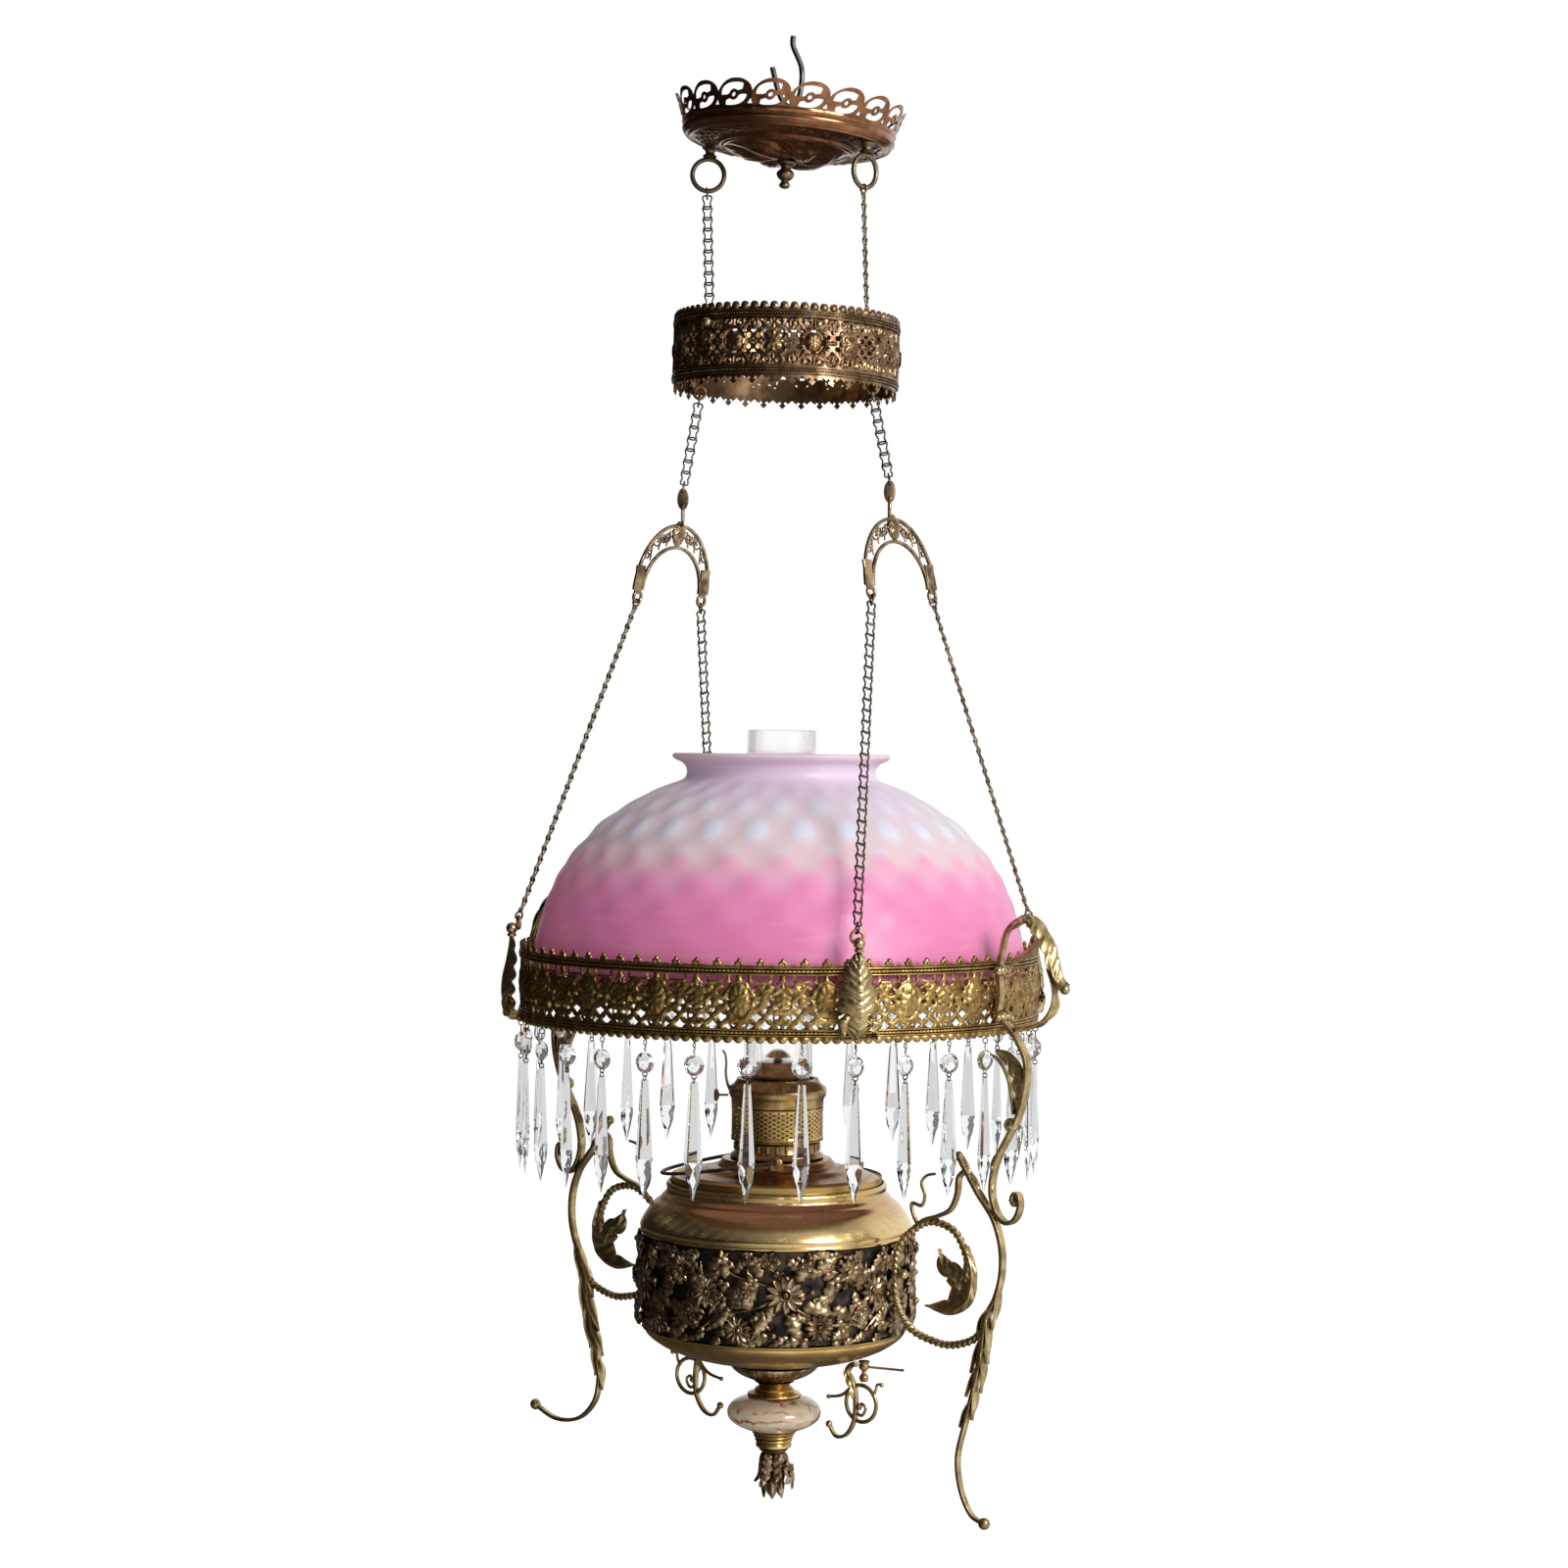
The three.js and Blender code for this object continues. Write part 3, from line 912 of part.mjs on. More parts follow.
// A wire bail lies down on the fount to the left, its ends in line with the lamp's axis
function fountBail() {
  const wire = BAIL.wire / 2;
  const arch = Array.from({ length: 13 }, (_, i) => {
    const a = Math.PI * (i / 12);
    return [BAIL.radius * Math.cos(a), BAIL.reach * Math.sin(a)];
  });
  const lying = bar(arch, 12, ngon(5), () => [wire, wire]).rotateX(Math.PI / 2).rotateZ(-Math.PI / 2);
  return lying.rotateY(-rad(BAIL.rest));
}

piece("oil_fount", oilFount().translate(0, 0, Z_FOUNT), GILT, lamp);
piece("burner_base", burnerBase().translate(0, 0, Z_BURNER), GILT, lamp);
piece("burner_gallery", burnerGallery.translate(0, 0, Z_MESH + GAP), GILT, lamp);
piece("burner_dome", burnerDome().translate(0, 0, Z_FLANGE), GILT, lamp);
piece("flame_spreader", flameSpreader().translate(0, 0, Z_DOME + DOME.height), GILT, lamp);
const knobFrame = frameAt(lamp, { z: Z_FLANGE + KNOB.above, turn: KNOB.turn });
piece("wick_knob", wickKnob().translate(BURNER.gallery + GAP, 0, 0), BRASS, knobFrame);
piece("chimney", chimney().translate(0, 0, Z_DOME + GAP), GLASS, lamp);
piece("fount_bail", fountBail().translate(0, 0, Z_FOUNT + BAIL.rise), BRASS, lamp);

export default lamp;
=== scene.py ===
import math

import bmesh
import bpy
import numpy as np
from mathutils import Matrix, Vector


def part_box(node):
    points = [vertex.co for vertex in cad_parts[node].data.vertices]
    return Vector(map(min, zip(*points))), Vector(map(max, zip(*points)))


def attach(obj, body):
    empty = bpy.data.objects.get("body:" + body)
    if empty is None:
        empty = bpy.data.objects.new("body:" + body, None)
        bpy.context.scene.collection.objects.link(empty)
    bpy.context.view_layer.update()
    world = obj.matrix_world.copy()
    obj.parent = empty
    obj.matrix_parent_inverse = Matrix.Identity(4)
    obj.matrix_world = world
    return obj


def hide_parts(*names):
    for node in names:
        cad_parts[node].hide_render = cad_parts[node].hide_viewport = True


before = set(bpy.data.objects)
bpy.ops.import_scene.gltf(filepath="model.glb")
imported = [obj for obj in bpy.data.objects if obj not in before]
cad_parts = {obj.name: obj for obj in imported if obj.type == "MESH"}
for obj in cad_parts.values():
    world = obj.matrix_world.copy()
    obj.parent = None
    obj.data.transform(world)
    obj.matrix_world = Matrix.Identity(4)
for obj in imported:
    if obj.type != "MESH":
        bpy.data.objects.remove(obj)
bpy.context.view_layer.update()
MM = 0.001


# Camera: level with the shade's shoulder, a little right of the lamp's axis

def stand_camera(place, pitch, roll, lens):
    """Looks along +Y, turned down by pitch and about its own axis by roll, in degrees."""
    data = bpy.data.cameras.new("camera")
    data.lens, data.sensor_width = lens, 36
    camera = bpy.data.objects.new("camera", data)
    turn = Matrix.Rotation(math.radians(90 - pitch), 4, "X") @ Matrix.Rotation(math.radians(roll), 4, "Z")
    camera.matrix_world = Matrix.Translation(place) @ turn
    bpy.context.scene.collection.objects.link(camera)
    bpy.context.scene.camera = camera


stand_camera((0.0021, -2.262, -0.5175), 0.537, 0.65, 72)


# Levels in millimetres, from the ceiling down

BOW, RIM, BAND, YOKE_HEAD = -51.0, -73.0, -231.5, -334.9
RING, SHADE, JOINT = -658.5, -675.5, -827.0
HOLDER, BOWL, CUP, NECK, KNOP, COLLAR, DROP = -861.0, -928.0, -957.0, -969.5, -980.5, -1005.5, -1017.5
FOUNT, GALLERY = -822.0, -782.5

# Distances from the axis in millimetres, directions round it and leanings in degrees

DISH, EYES, BAND_WALL, YOKES, RING_WALL, RING_FACE = 76, 65.3, 80.2, 86, 186.3, 186.6
SPRAY_WALL, LINER, SCROLLS, SCREW_ROD = 97, 94.6, 71.4, 2.9
SWING = {"right": -30, "left": 150}
ARMS = {"right": -37, "left": 143}
LEAVES = {"front": -74.3, "right": 15.7, "back": 105.7, "left": 195.7}
CANOPY_TILT, BAND_TILT = 4.0, 1.3


# Shapes: a shape is (points, quads), in millimetres

def unit(vectors):
    """Vectors divided by their length."""
    return vectors / np.maximum(np.linalg.norm(vectors, axis=-1, keepdims=True), 1e-9)


def grid(points, loop=False):
    """Quads between the rows and columns of a (rows, columns, 3) array: its columns close to a tube, and its
    rows too where it loops."""
    index = np.arange(points.shape[0] * points.shape[1]).reshape(points.shape[:2])
    if loop:
        index = np.concatenate([index, index[:1]])
    index = np.concatenate([index, index[:, :1]], axis=1)
    corners = index[:-1, :-1], index[1:, :-1], index[1:, 1:], index[:-1, 1:]
    return points.reshape(-1, 3), np.stack(corners, -1).reshape(-1, 4)


def join(*shapes):
    """Several shapes as one: each one's quads count on from the points before it."""
    starts = np.cumsum([0] + [len(points) for points, _ in shapes[:-1]])
    return (np.concatenate([points for points, _ in shapes]),
            np.concatenate([quads + start for (_, quads), start in zip(shapes, starts)]))


def placed(shape, turn=0.0, tilt=0.0, at=(0, 0, 0)):
    """A shape tilted about Y, then turned about Z, both in degrees, then moved."""
    (ca, sa), (cb, sb) = [(math.cos(math.radians(a)), math.sin(math.radians(a))) for a in (turn, tilt)]
    tilted = np.array([[cb, 0, sb], [0, 1, 0], [-sb, 0, cb]])
    turned = np.array([[ca, -sa, 0], [sa, ca, 0], [0, 0, 1]])
    return shape[0] @ (turned @ tilted).T + np.asarray(at, float), shape[1]


def around(shape, turns):
    """The same shape once for each turn about Z."""
    return join(*[placed(shape, turn) for turn in turns])


def full_turn(count, shift=0.0):
    """Angles spaced evenly round a full turn."""
    return (np.arange(count) + shift) * math.tau / count


def polar(radius, degrees, level=0.0):
    """The point at this distance from the axis, in this direction, at this level."""
    return radius * math.cos(math.radians(degrees)), radius * math.sin(math.radians(degrees)), level


def bent(a, r, z):
    """Points (r cos a, r sin a, z)."""
    return np.stack([r * np.cos(a), r * np.sin(a), z + 0 * a], -1)


def curve(points, count, closed=False):
    """count points spaced evenly on a Catmull-Rom curve: half of
    2b + (c - a)t + (2a - 5b + 4c - d)t^2 + (3b - a - 3c + d)t^3 between b and c."""
    p = np.asarray(points, float)
    ends = (p[-1:], p[:2]) if closed else (2 * p[:1] - p[1:2], 2 * p[-1:] - p[-2:-1])
    q = np.concatenate([ends[0], p, ends[1]])
    t = np.linspace(0, 1, 16, endpoint=False)[:, None, None]
    a, b, c, d = q[:-3], q[1:-2], q[2:-1], q[3:]
    dense = (2 * b + (c - a) * t + (2 * a - 5 * b + 4 * c - d) * t**2 + (3 * b - a - 3 * c + d) * t**3) / 2
    dense = dense.transpose(1, 0, 2).reshape(-1, p.shape[1])
    dense = np.concatenate([dense, p[:1] if closed else p[-1:]])
    run = np.concatenate([[0], np.cumsum(np.linalg.norm(np.diff(dense, axis=0), axis=1))])
    at = np.linspace(0, run[-1], count, endpoint=not closed)
    return np.stack([np.interp(at, run, dense[:, k]) for k in range(p.shape[1])], 1)


def upright(shares, width, height, start=(0, 0)):
    """Points in the X-Z plane from shares of a width and a height."""
    x, z = np.asarray(shares, float).T
    return np.stack([start[0] + x * width, 0 * x, start[1] + z * height], 1)


def wheel(line, sides):
    """Angle, radius and height over an outline of (radius, height) that is turned about Z."""
    a = full_turn(sides)[None] + 0 * line[:, :1]
    return a, line[:, :1] + 0 * a, line[:, 1:] + 0 * a


def spun(outline, sides=96, smooth=0, ripple=None, closed=False):
    """An outline turned about Z, where ripple(a, r, z, share of the outline) moves each point out. A smooth
    outline is drawn through its points by that many more."""
    line = curve(outline, smooth, closed) if smooth else np.asarray(outline, float)
    a, r, z = wheel(line, sides)
    if ripple:
        r = r + ripple(a, r, z, np.linspace(0, 1, len(line))[:, None])
    return grid(bent(a, r, z), closed)


def walled(points, wall):
    """A sheet of rows and looping columns with the same sheet behind it, moved back by wall along the
    normal dp/du x dp/dv, and joined to it along both edges."""
    along, across = np.gradient(points, axis=0), np.roll(points, -1, 1) - np.roll(points, 1, 1)
    back = points - wall * unit(np.cross(along, across))
    return grid(np.concatenate([points, back[::-1]]), loop=True)


def sides_of(count):
    """Corners of a regular polygon on the unit circle, as (across, out)."""
    a = full_turn(count)
    return np.stack([np.cos(a), np.sin(a)], 1)


ROUND, FINE, HEX = sides_of(16), sides_of(8), sides_of(6)
STRAP = np.sign(sides_of(20)) * np.abs(sides_of(20)) ** np.array([0.55, 0.3])  # a flat bar, edges rounded


def swept(path, section, size=1.0, side=(0, 1, 0), closed=False):
    """A section of (across, out) carried along a path: p + size (across side + out (tangent x side)).
    size is one number, one each along the path, or two each. Open ends are drawn together and shut."""
    path = np.asarray(path, float)
    ahead = np.roll(path, -1, 0) - np.roll(path, 1, 0) if closed else np.gradient(path, axis=0)
    along, side = unit(ahead), np.asarray(side, float) * np.ones_like(path)
    side = unit(side - (side * along).sum(1, keepdims=True) * along)
    size = np.asarray(size, float)
    size = np.ones((len(path), 2)) * (size[:, None] if size.shape == (len(path),) else size)
    section = section if section.ndim == 3 else section[None]
    across, out = section[..., :1] * size[:, None, :1], section[..., 1:] * size[:, None, 1:]
    points = path[:, None] + across * side[:, None] + out * np.cross(along, side)[:, None]
    if not closed:
        ends = [np.broadcast_to(end, points[:1].shape) for end in (path[0], path[-1])]
        points = np.concatenate([ends[0], points, ends[1]])
    return grid(points, closed)


def wire(points, count, size, last=None, section=ROUND, side=(0, 1, 0)):
    """A wire or a bar drawn through points, of one size or changing evenly to its last."""
    return swept(curve(points, count), section, np.linspace(size, size if last is None else last, count),
                 side)


def wire_ring(radius, size, centre=(0, 0, 0), axis="Y", count=48, section=ROUND):
    """A wire bent to a circle round X, Y or Z."""
    a = full_turn(count)
    c, s, o = radius * np.cos(a), radius * np.sin(a), 0 * a
    path = np.stack({"X": (o, c, s), "Y": (c, o, s), "Z": (c, s, o)}[axis], 1) + np.asarray(centre, float)
    return swept(path, section, size, [way == axis for way in "XYZ"], closed=True)


def ball(radius, at=(0, 0, 0), rows=10, sides=16, stretch=1.0):
    """A ball from pole to pole: (r sin f, r cos f) turned about Z, its height stretched."""
    f = np.linspace(0, np.pi, rows)
    points, quads = spun(np.stack([radius * np.sin(f), radius * stretch * np.cos(f)], 1), sides)
    return points + np.asarray(at, float), quads


def bulge(root, swell, power=1.0, start=0.0, reach=1.0, ease=1.0):
    """A breadth along a path: root + swell sin(pi (start + reach t^ease))^power."""
    return lambda t: root + swell * np.sin(np.pi * np.clip(start + reach * t**ease, 0, 1)) ** power


def leaf(path, width, thick=1.4, cup=0.0, lobes=0.0, depth=0.25, ribs=0.0, side=(0, 1, 0), rows=48,
         sides=24, veins=1.0):
    """A leaf along a path. Across it runs c = cos f, out of it sin f times half its thickness, raised by
    cup c^2 width. Its edge waves by depth |sin(pi lobes t)|, and ribs fan out from its stem."""
    t = np.linspace(0, 1, rows)[:, None]
    half = width(t) * (1 - depth * (1 - np.abs(np.sin(np.pi * lobes * t))) if lobes else 1)
    f = full_turn(sides)[None]
    c = np.cos(f) + 0 * t
    fan = np.cos(2 * np.pi * veins * (lobes * t - 0.9 * np.abs(c))) * np.abs(c) ** 0.5 * (1 - np.abs(c) ** 4)
    stem = np.exp(-(c / 0.14) ** 2)
    out = np.sin(f) * thick / 2 * (1 - 0.55 * c**2) + cup * half * c**2 + ribs * (fan + stem) * (np.sin(f) > 0)
    return swept(curve(path, rows), np.stack([c * half, out], -1), 1.0, side)


def frond(path, inner, outer, thick=2.4, lobes=4.0, depth=0.35, ribs=0.5, plain=False):
    """A leaf that lies in the X-Z plane: inner(t) and outer(t) are its breadths on either side of its path;
    the outer edge may be plain. Both faces are domed and grooved by ribs that run back from the notches."""
    rows, sides = 70, 28
    t = np.linspace(0, 1, rows)[:, None]
    f = full_turn(sides)[None]
    c = np.cos(f)
    notch = 1 - depth * (1 - np.abs(np.sin(np.pi * lobes * t)) ** 0.6)
    half = np.where(c > 0, outer(t) * (1 if plain else notch), inner(t) * notch)
    face = np.sin(f) * thick / 2 * (1 - 0.5 * c**2)
    groove = np.cos(2 * np.pi * (2 * lobes * t - 1.3 * np.abs(c))) * np.abs(c) * (1 - np.abs(c) ** 4)
    ridge = ribs * (groove + np.exp(-(c / 0.16) ** 2)) * np.sign(np.sin(f)) * (np.abs(np.sin(f)) > 0.01)
    return swept(curve(path, rows), np.stack([face + ridge, c * half], -1))


def pierced(across, up, metal, place, cells, wall, relief=None):
    """A sheet with the open part of a pattern left out. metal(x, y) is above 0 in the metal. The corners
    along its edge move by -f grad f / |grad f|^2, so that the edge lies where f = 0. place(x, y, out)
    bends the sheet to its shape, at the front (out = relief) and at the back (out = -wall)."""
    dx, dy = across / cells[0], (up[1] - up[0]) / cells[1]
    x, y = np.meshgrid(np.arange(cells[0]) * dx, up[0] + np.arange(cells[1] + 1) * dy)
    f = metal(x, y)
    gx, gy = (np.roll(f, -1, 1) - np.roll(f, 1, 1)) / (2 * dx), np.gradient(f, dy, axis=0)
    wrapped = np.concatenate([f, f[:, :1]], 1)
    kept = wrapped[:-1, :-1] + wrapped[1:, :-1] + wrapped[1:, 1:] + wrapped[:-1, 1:] > 0
    count = np.zeros_like(f)
    for dr, dc in ((0, 0), (1, 0), (0, 1), (1, 1)):
        count[dr:len(f) - 1 + dr] += np.roll(kept, dc, 1)
    edge = (count > 0) & (count < 4)
    step = np.where(edge, -f / np.maximum(gx**2 + gy**2, 0.05), 0)
    x, y = x + np.clip(step * gx, -0.6 * dx, 0.6 * dx), y + np.clip(step * gy, -0.6 * dy, 0.6 * dy)
    y = np.clip(y, up[0], up[1])
    out = relief(x, y) if relief else 0 * x
    front, back = place(x, y, out), place(x, y, 0 * out - wall)
    size = x.size
    index = np.arange(size).reshape(x.shape)
    index = np.concatenate([index, index[:, :1]], 1)
    quads = np.stack([index[:-1, :-1], index[:-1, 1:], index[1:, 1:], index[1:, :-1]], -1)[kept]
    ends = np.concatenate([quads[:, [k, (k + 1) % 4]] for k in range(4)])
    key, other = ends[:, 0] * size + ends[:, 1], ends[:, 1] * size + ends[:, 0]
    rim = ends[~np.isin(key, other)]
    walls = np.stack([rim[:, 1], rim[:, 0], rim[:, 0] + size, rim[:, 1] + size], 1)
    quads = np.concatenate([quads, quads[:, ::-1] + size, walls])
    used, quads = np.unique(quads, return_inverse=True)
    return np.concatenate([front.reshape(-1, 3), back.reshape(-1, 3)])[used], quads.reshape(-1, 4)


def make(name, shape, finish, body, *nodes, slot=None, crease=38, marks=None, turn=0, tilt=0, at=(0, 0, 0)):
    """A piece from a shape put in its place: doubles merged, faces outward, smooth but for edges sharper than
    crease. It rides on a body; the slot argument is not used."""
    points, quads = placed(shape, turn, tilt, at)
    material, usual_slot = FINISH[finish]
    mesh = bpy.data.meshes.new(name)
    mesh.from_pydata((points * MM).tolist(), [], quads.tolist())
    if marks:
        mesh.attributes.new(marks[0], "FLOAT", "POINT").data.foreach_set("value", marks[1])
    skin = bmesh.new()
    skin.from_mesh(mesh)
    bmesh.ops.remove_doubles(skin, verts=skin.verts, dist=0.00002)
    bmesh.ops.recalc_face_normals(skin, faces=skin.faces)
    skin.to_mesh(mesh)
    skin.free()
    mesh.polygons.foreach_set("use_smooth", np.ones(len(mesh.polygons), bool))
    mesh.set_sharp_from_angle(angle=math.radians(crease))
    mesh.materials.append(material)
    piece = bpy.data.objects.new(name, mesh)
    bpy.context.scene.collection.objects.link(piece)
    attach(piece, body)
    slot or usual_slot
    if nodes:
        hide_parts(*nodes)


def work(node, shape, finish, body="frame", **more):
    """The piece that takes one node's place."""
    make(node + "_work", shape, finish, body, node, **more)


# Finishes

class Value:
    """A socket that stands in a formula: each operator adds its Math node."""

    def __init__(self, finish, socket):
        self.finish, self.socket = finish, socket

    def __add__(self, other):
        return self.finish.math("ADD", self, other)

    def __sub__(self, other):
        return self.finish.math("SUBTRACT", self, other)

    def __rsub__(self, other):
        return self.finish.math("SUBTRACT", other, self)

    def __mul__(self, other):
        return self.finish.math("MULTIPLY", self, other)

    __radd__, __rmul__ = __add__, __mul__


class Wiring:
    """A node tree, and the node whose sockets it feeds."""

    def __init__(self, tree, shader):
        self.tree, self.shader = tree, tree.nodes[shader]

    def put(self, socket, value):
        if isinstance(value, Value):
            self.tree.links.new(value.socket, socket)
        else:
            socket.default_value = value

    def feed(self, values):
        for name, value in values.items():
            self.put(self.shader.inputs[name], value)

    def node(self, kind, settings=None, values=None, out=0):
        """Any other node: its settings first, then the values or links of its sockets."""
        node = self.tree.nodes.new("ShaderNode" + kind)
        for name, value in (settings or {}).items():
            if name == "stops":
                for k, (at, colour) in enumerate(value):
                    stop = node.color_ramp.elements[k] if k < 2 else node.color_ramp.elements.new(at)
                    stop.position, stop.color = at, colour
            else:
                setattr(node, name, value)
        for name, value in (values or {}).items():
            self.put(node.inputs[name], value)
        return Value(self, node.outputs[out])

    def math(self, operation, a, b):
        return self.node("Math", {"operation": operation}, {0: a, 1: b})

    def mix(self, share, a, b):
        return self.node("Mix", {"data_type": "RGBA"}, {0: share, 6: a, 7: b}, 2)

    def place(self, way=None):
        """The point on the object, or one of its coordinates in metres."""
        place = self.node("TexCoord", out=3)
        return place if way is None else self.node("SeparateXYZ", values={0: place}, out="XYZ".index(way))

    def noise(self, size, detail=3.0, stretch=None):
        """Cloudy noise with blots of this size in millimetres."""
        place = self.place()
        if stretch:
            place = self.node("Mapping", values={"Vector": place, "Scale": stretch})
        return self.node("TexNoise", values={"Vector": place, "Scale": 1 / (size * MM), "Detail": detail,
                                             "Roughness": 0.55})

    def ramp(self, value, low, high):
        """0 below low, 1 above high, eased between."""
        return self.node("MapRange", {"interpolation_type": "SMOOTHSTEP"}, {0: value, 1: low, 2: high})

    def colours(self, value, low, high, stops):
        """Colours that change from stop to stop as a value goes from low to high."""
        share = self.node("MapRange", values={0: value, 1: low, 2: high})
        return self.node("ValToRGB", {"stops": [(at, ink(*colour)) for at, *colour in stops]}, {0: share})

    def painted_recess_shade(self, reach):
        """1 in the depth of a hollow, 0 in the open, from how much lies within reach millimetres; the metals
        lay painted shade by it.
        """
        return 1 - self.node("AmbientOcclusion", {"samples": 6}, {"Distance": reach * MM}, 1)

    def bump(self, height, depth):
        return self.node("Bump", values={"Height": height, "Distance": depth * MM, "Strength": 1.0})


class Finish(Wiring):
    """A material. What is the same all over stands on the shader's own sockets."""

    def __init__(self, name, constants):
        self.material = bpy.data.materials.new(name)
        self.material.use_nodes = True
        super().__init__(self.material.node_tree, "Principled BSDF")
        self.feed(constants)


def ink(red, green, blue):
    """A colour as the eye sees it, 0 to 255, in the linear values that the shader takes."""
    share = np.array([red, green, blue]) / 255
    linear = np.where(share > 0.04045, ((share + 0.055) / 1.055) ** 2.4, share / 12.92)
    return (*linear.tolist(), 1)


def old_metal(name, bright, dull, painted_recess_shade, rough, reach=3.0, grain=0.014, wear=0.5):
    """Cast or pressed metal: bright where it is worn, duller in blots, and darkened in its recesses with
    painted shade.
    """
    f = Finish(name, {"Metallic": 1.0})
    blots = f.ramp(f.noise(9, 4), 0.5 - wear * 0.3, 0.5 + wear * 0.3)
    fine = f.noise(1.1, 2)
    # Painted shade: the colour darkens to the last colour where ambient occlusion finds a hollow.
    depth = f.ramp(f.painted_recess_shade(reach), 0.12, 0.72)
    colour = f.mix(blots, ink(*bright), ink(*dull))
    f.feed({"Base Color": f.mix(depth, colour, ink(*painted_recess_shade)),
            "Roughness": rough + 0.12 * blots + 0.08 * fine + 0.2 * depth,
            "Normal": f.bump(fine, grain)})
    return f.material


def glass(name, tint, index, clear=0.0):
    """Clear glass with a faintly uneven face; clear is the share of light that passes it unbent."""
    f = Finish(name, {"Transmission Weight": 1.0, "IOR": index, "Base Color": ink(*tint), "Roughness": 0.0,
                      "Alpha": 1 - clear})
    f.feed({"Normal": f.bump(f.noise(14, 1), 0.04)})
    return f.material


def shade_glass():
    """Satin glass, cased: rose below, shading through shell pink to a milky lilac, with a painted bluish
    highlight on the upper hobs.
    """
    f = Finish("satin cased glass", {"Coat Roughness": 0.25, "IOR": 1.5, "Specular IOR Level": 0.45})
    z = f.place("Z")
    hob = f.node("Attribute", {"attribute_name": "hob"}, out=2)
    cloud = f.noise(60, 2)
    lining = f.ramp(hob, -0.1, -0.8)
    body = f.colours(z * 1000 - 7 * hob + 12 * (cloud - 0.5), -675.0, -515.0, (
        (0.0, 228, 124, 172), (0.28, 229, 130, 178), (0.37, 232, 140, 184), (0.44, 233, 164, 196),
        (0.51, 230, 196, 204), (0.6, 226, 204, 208), (0.74, 228, 210, 222), (0.9, 226, 208, 228),
        (1.0, 230, 206, 218)))
    # Painted highlight: the hobs of the upper rows are mixed toward bluish white.
    painted_hob_highlight = f.ramp(hob, 0.25, 1.5) * f.ramp(z * 1000, -590.0, -574.0)
    streak = f.ramp(f.noise(26, 3, stretch=(1, 1, 6)), 0.5, 0.75) * f.ramp(z * 1000, -590.0, -640.0)
    face = f.mix(streak * 0.3, f.mix(painted_hob_highlight * 0.8, body, ink(226, 230, 248)), ink(238, 166, 200))
    f.feed({"Base Color": f.mix(lining, face, ink(214, 186, 190)),
            "Roughness": 0.42 + 0.1 * cloud, "Coat Weight": 0.2 + 0.1 * cloud,
            "Normal": f.bump(f.noise(2.5, 2), 0.02)})
    return f.material


def shoulder_brass():
    """Brass that is darker and redder above the roll, as a painted reflection of the pink shade, and lighter
    on the roll, as a painted highlight.
    """
    f = Finish("shoulder brass with painted sheen", {"Metallic": 1.0})
    cloud = f.noise(22, 4)
    # Painted reflection and highlight: the colour changes with height, lighter on the roll and redder above
    # it.
    painted_sheen_zones = f.colours(f.place("Z") * 1000 + 5 * (cloud - 0.5), -861.0, -824.0, (
        (0.0, 224, 190, 124), (0.3, 230, 204, 148), (0.44, 222, 190, 132), (0.52, 214, 180, 130),
        (0.66, 206, 166, 118), (0.8, 206, 170, 120), (0.88, 210, 176, 116), (1.0, 212, 178, 116)))
    spots = f.ramp(f.noise(3.2, 3), 0.6, 0.74)
    f.feed({"Base Color": f.mix(spots * 0.3, painted_sheen_zones, ink(112, 84, 56)),
            "Roughness": 0.15 + 0.12 * cloud + 0.12 * spots, "Normal": f.bump(f.noise(1.3, 2), 0.015)})
    return f.material


def fount_brass():
    """Red-brown fount top, worn to brass on its edge."""
    f = Finish("fount brass", {"Metallic": 1.0})
    cloud = f.noise(18, 4)
    edge = f.ramp(f.place("Z") * -1000, 818.0, 822.0)
    brown = f.mix(f.ramp(cloud, 0.35, 0.65), ink(172, 130, 86), ink(136, 98, 62))
    f.feed({"Base Color": f.mix(edge, brown, ink(200, 166, 100)), "Roughness": 0.18 + 0.15 * cloud,
            "Normal": f.bump(f.noise(1.2, 2), 0.02)})
    return f.material


def onyx():
    """Polished stone: cream ground, brown veins where a warped wave along Z passes its crest."""
    f = Finish("banded onyx", {"Roughness": 0.16, "Coat Weight": 0.5, "Coat Roughness": 0.06})
    wave = f.node("TexWave", {"bands_direction": "Z"},
                  {"Vector": f.place(), "Scale": 52.0, "Distortion": 13.0,
                                                        "Detail": 4.0, "Detail Scale": 0.55,
                                                        "Detail Roughness": 0.6})
    ground = f.mix(f.noise(11, 3), ink(190, 170, 146), ink(222, 208, 186))
    ground = f.mix(f.ramp(wave, 0.3, 0.8) * 0.55, ground, ink(206, 176, 142))
    vein = f.ramp(wave, 0.72, 0.97) * f.ramp(f.noise(16, 2), 0.36, 0.6)
    f.feed({"Base Color": f.mix(vein, ground, ink(142, 90, 56))})
    return f.material


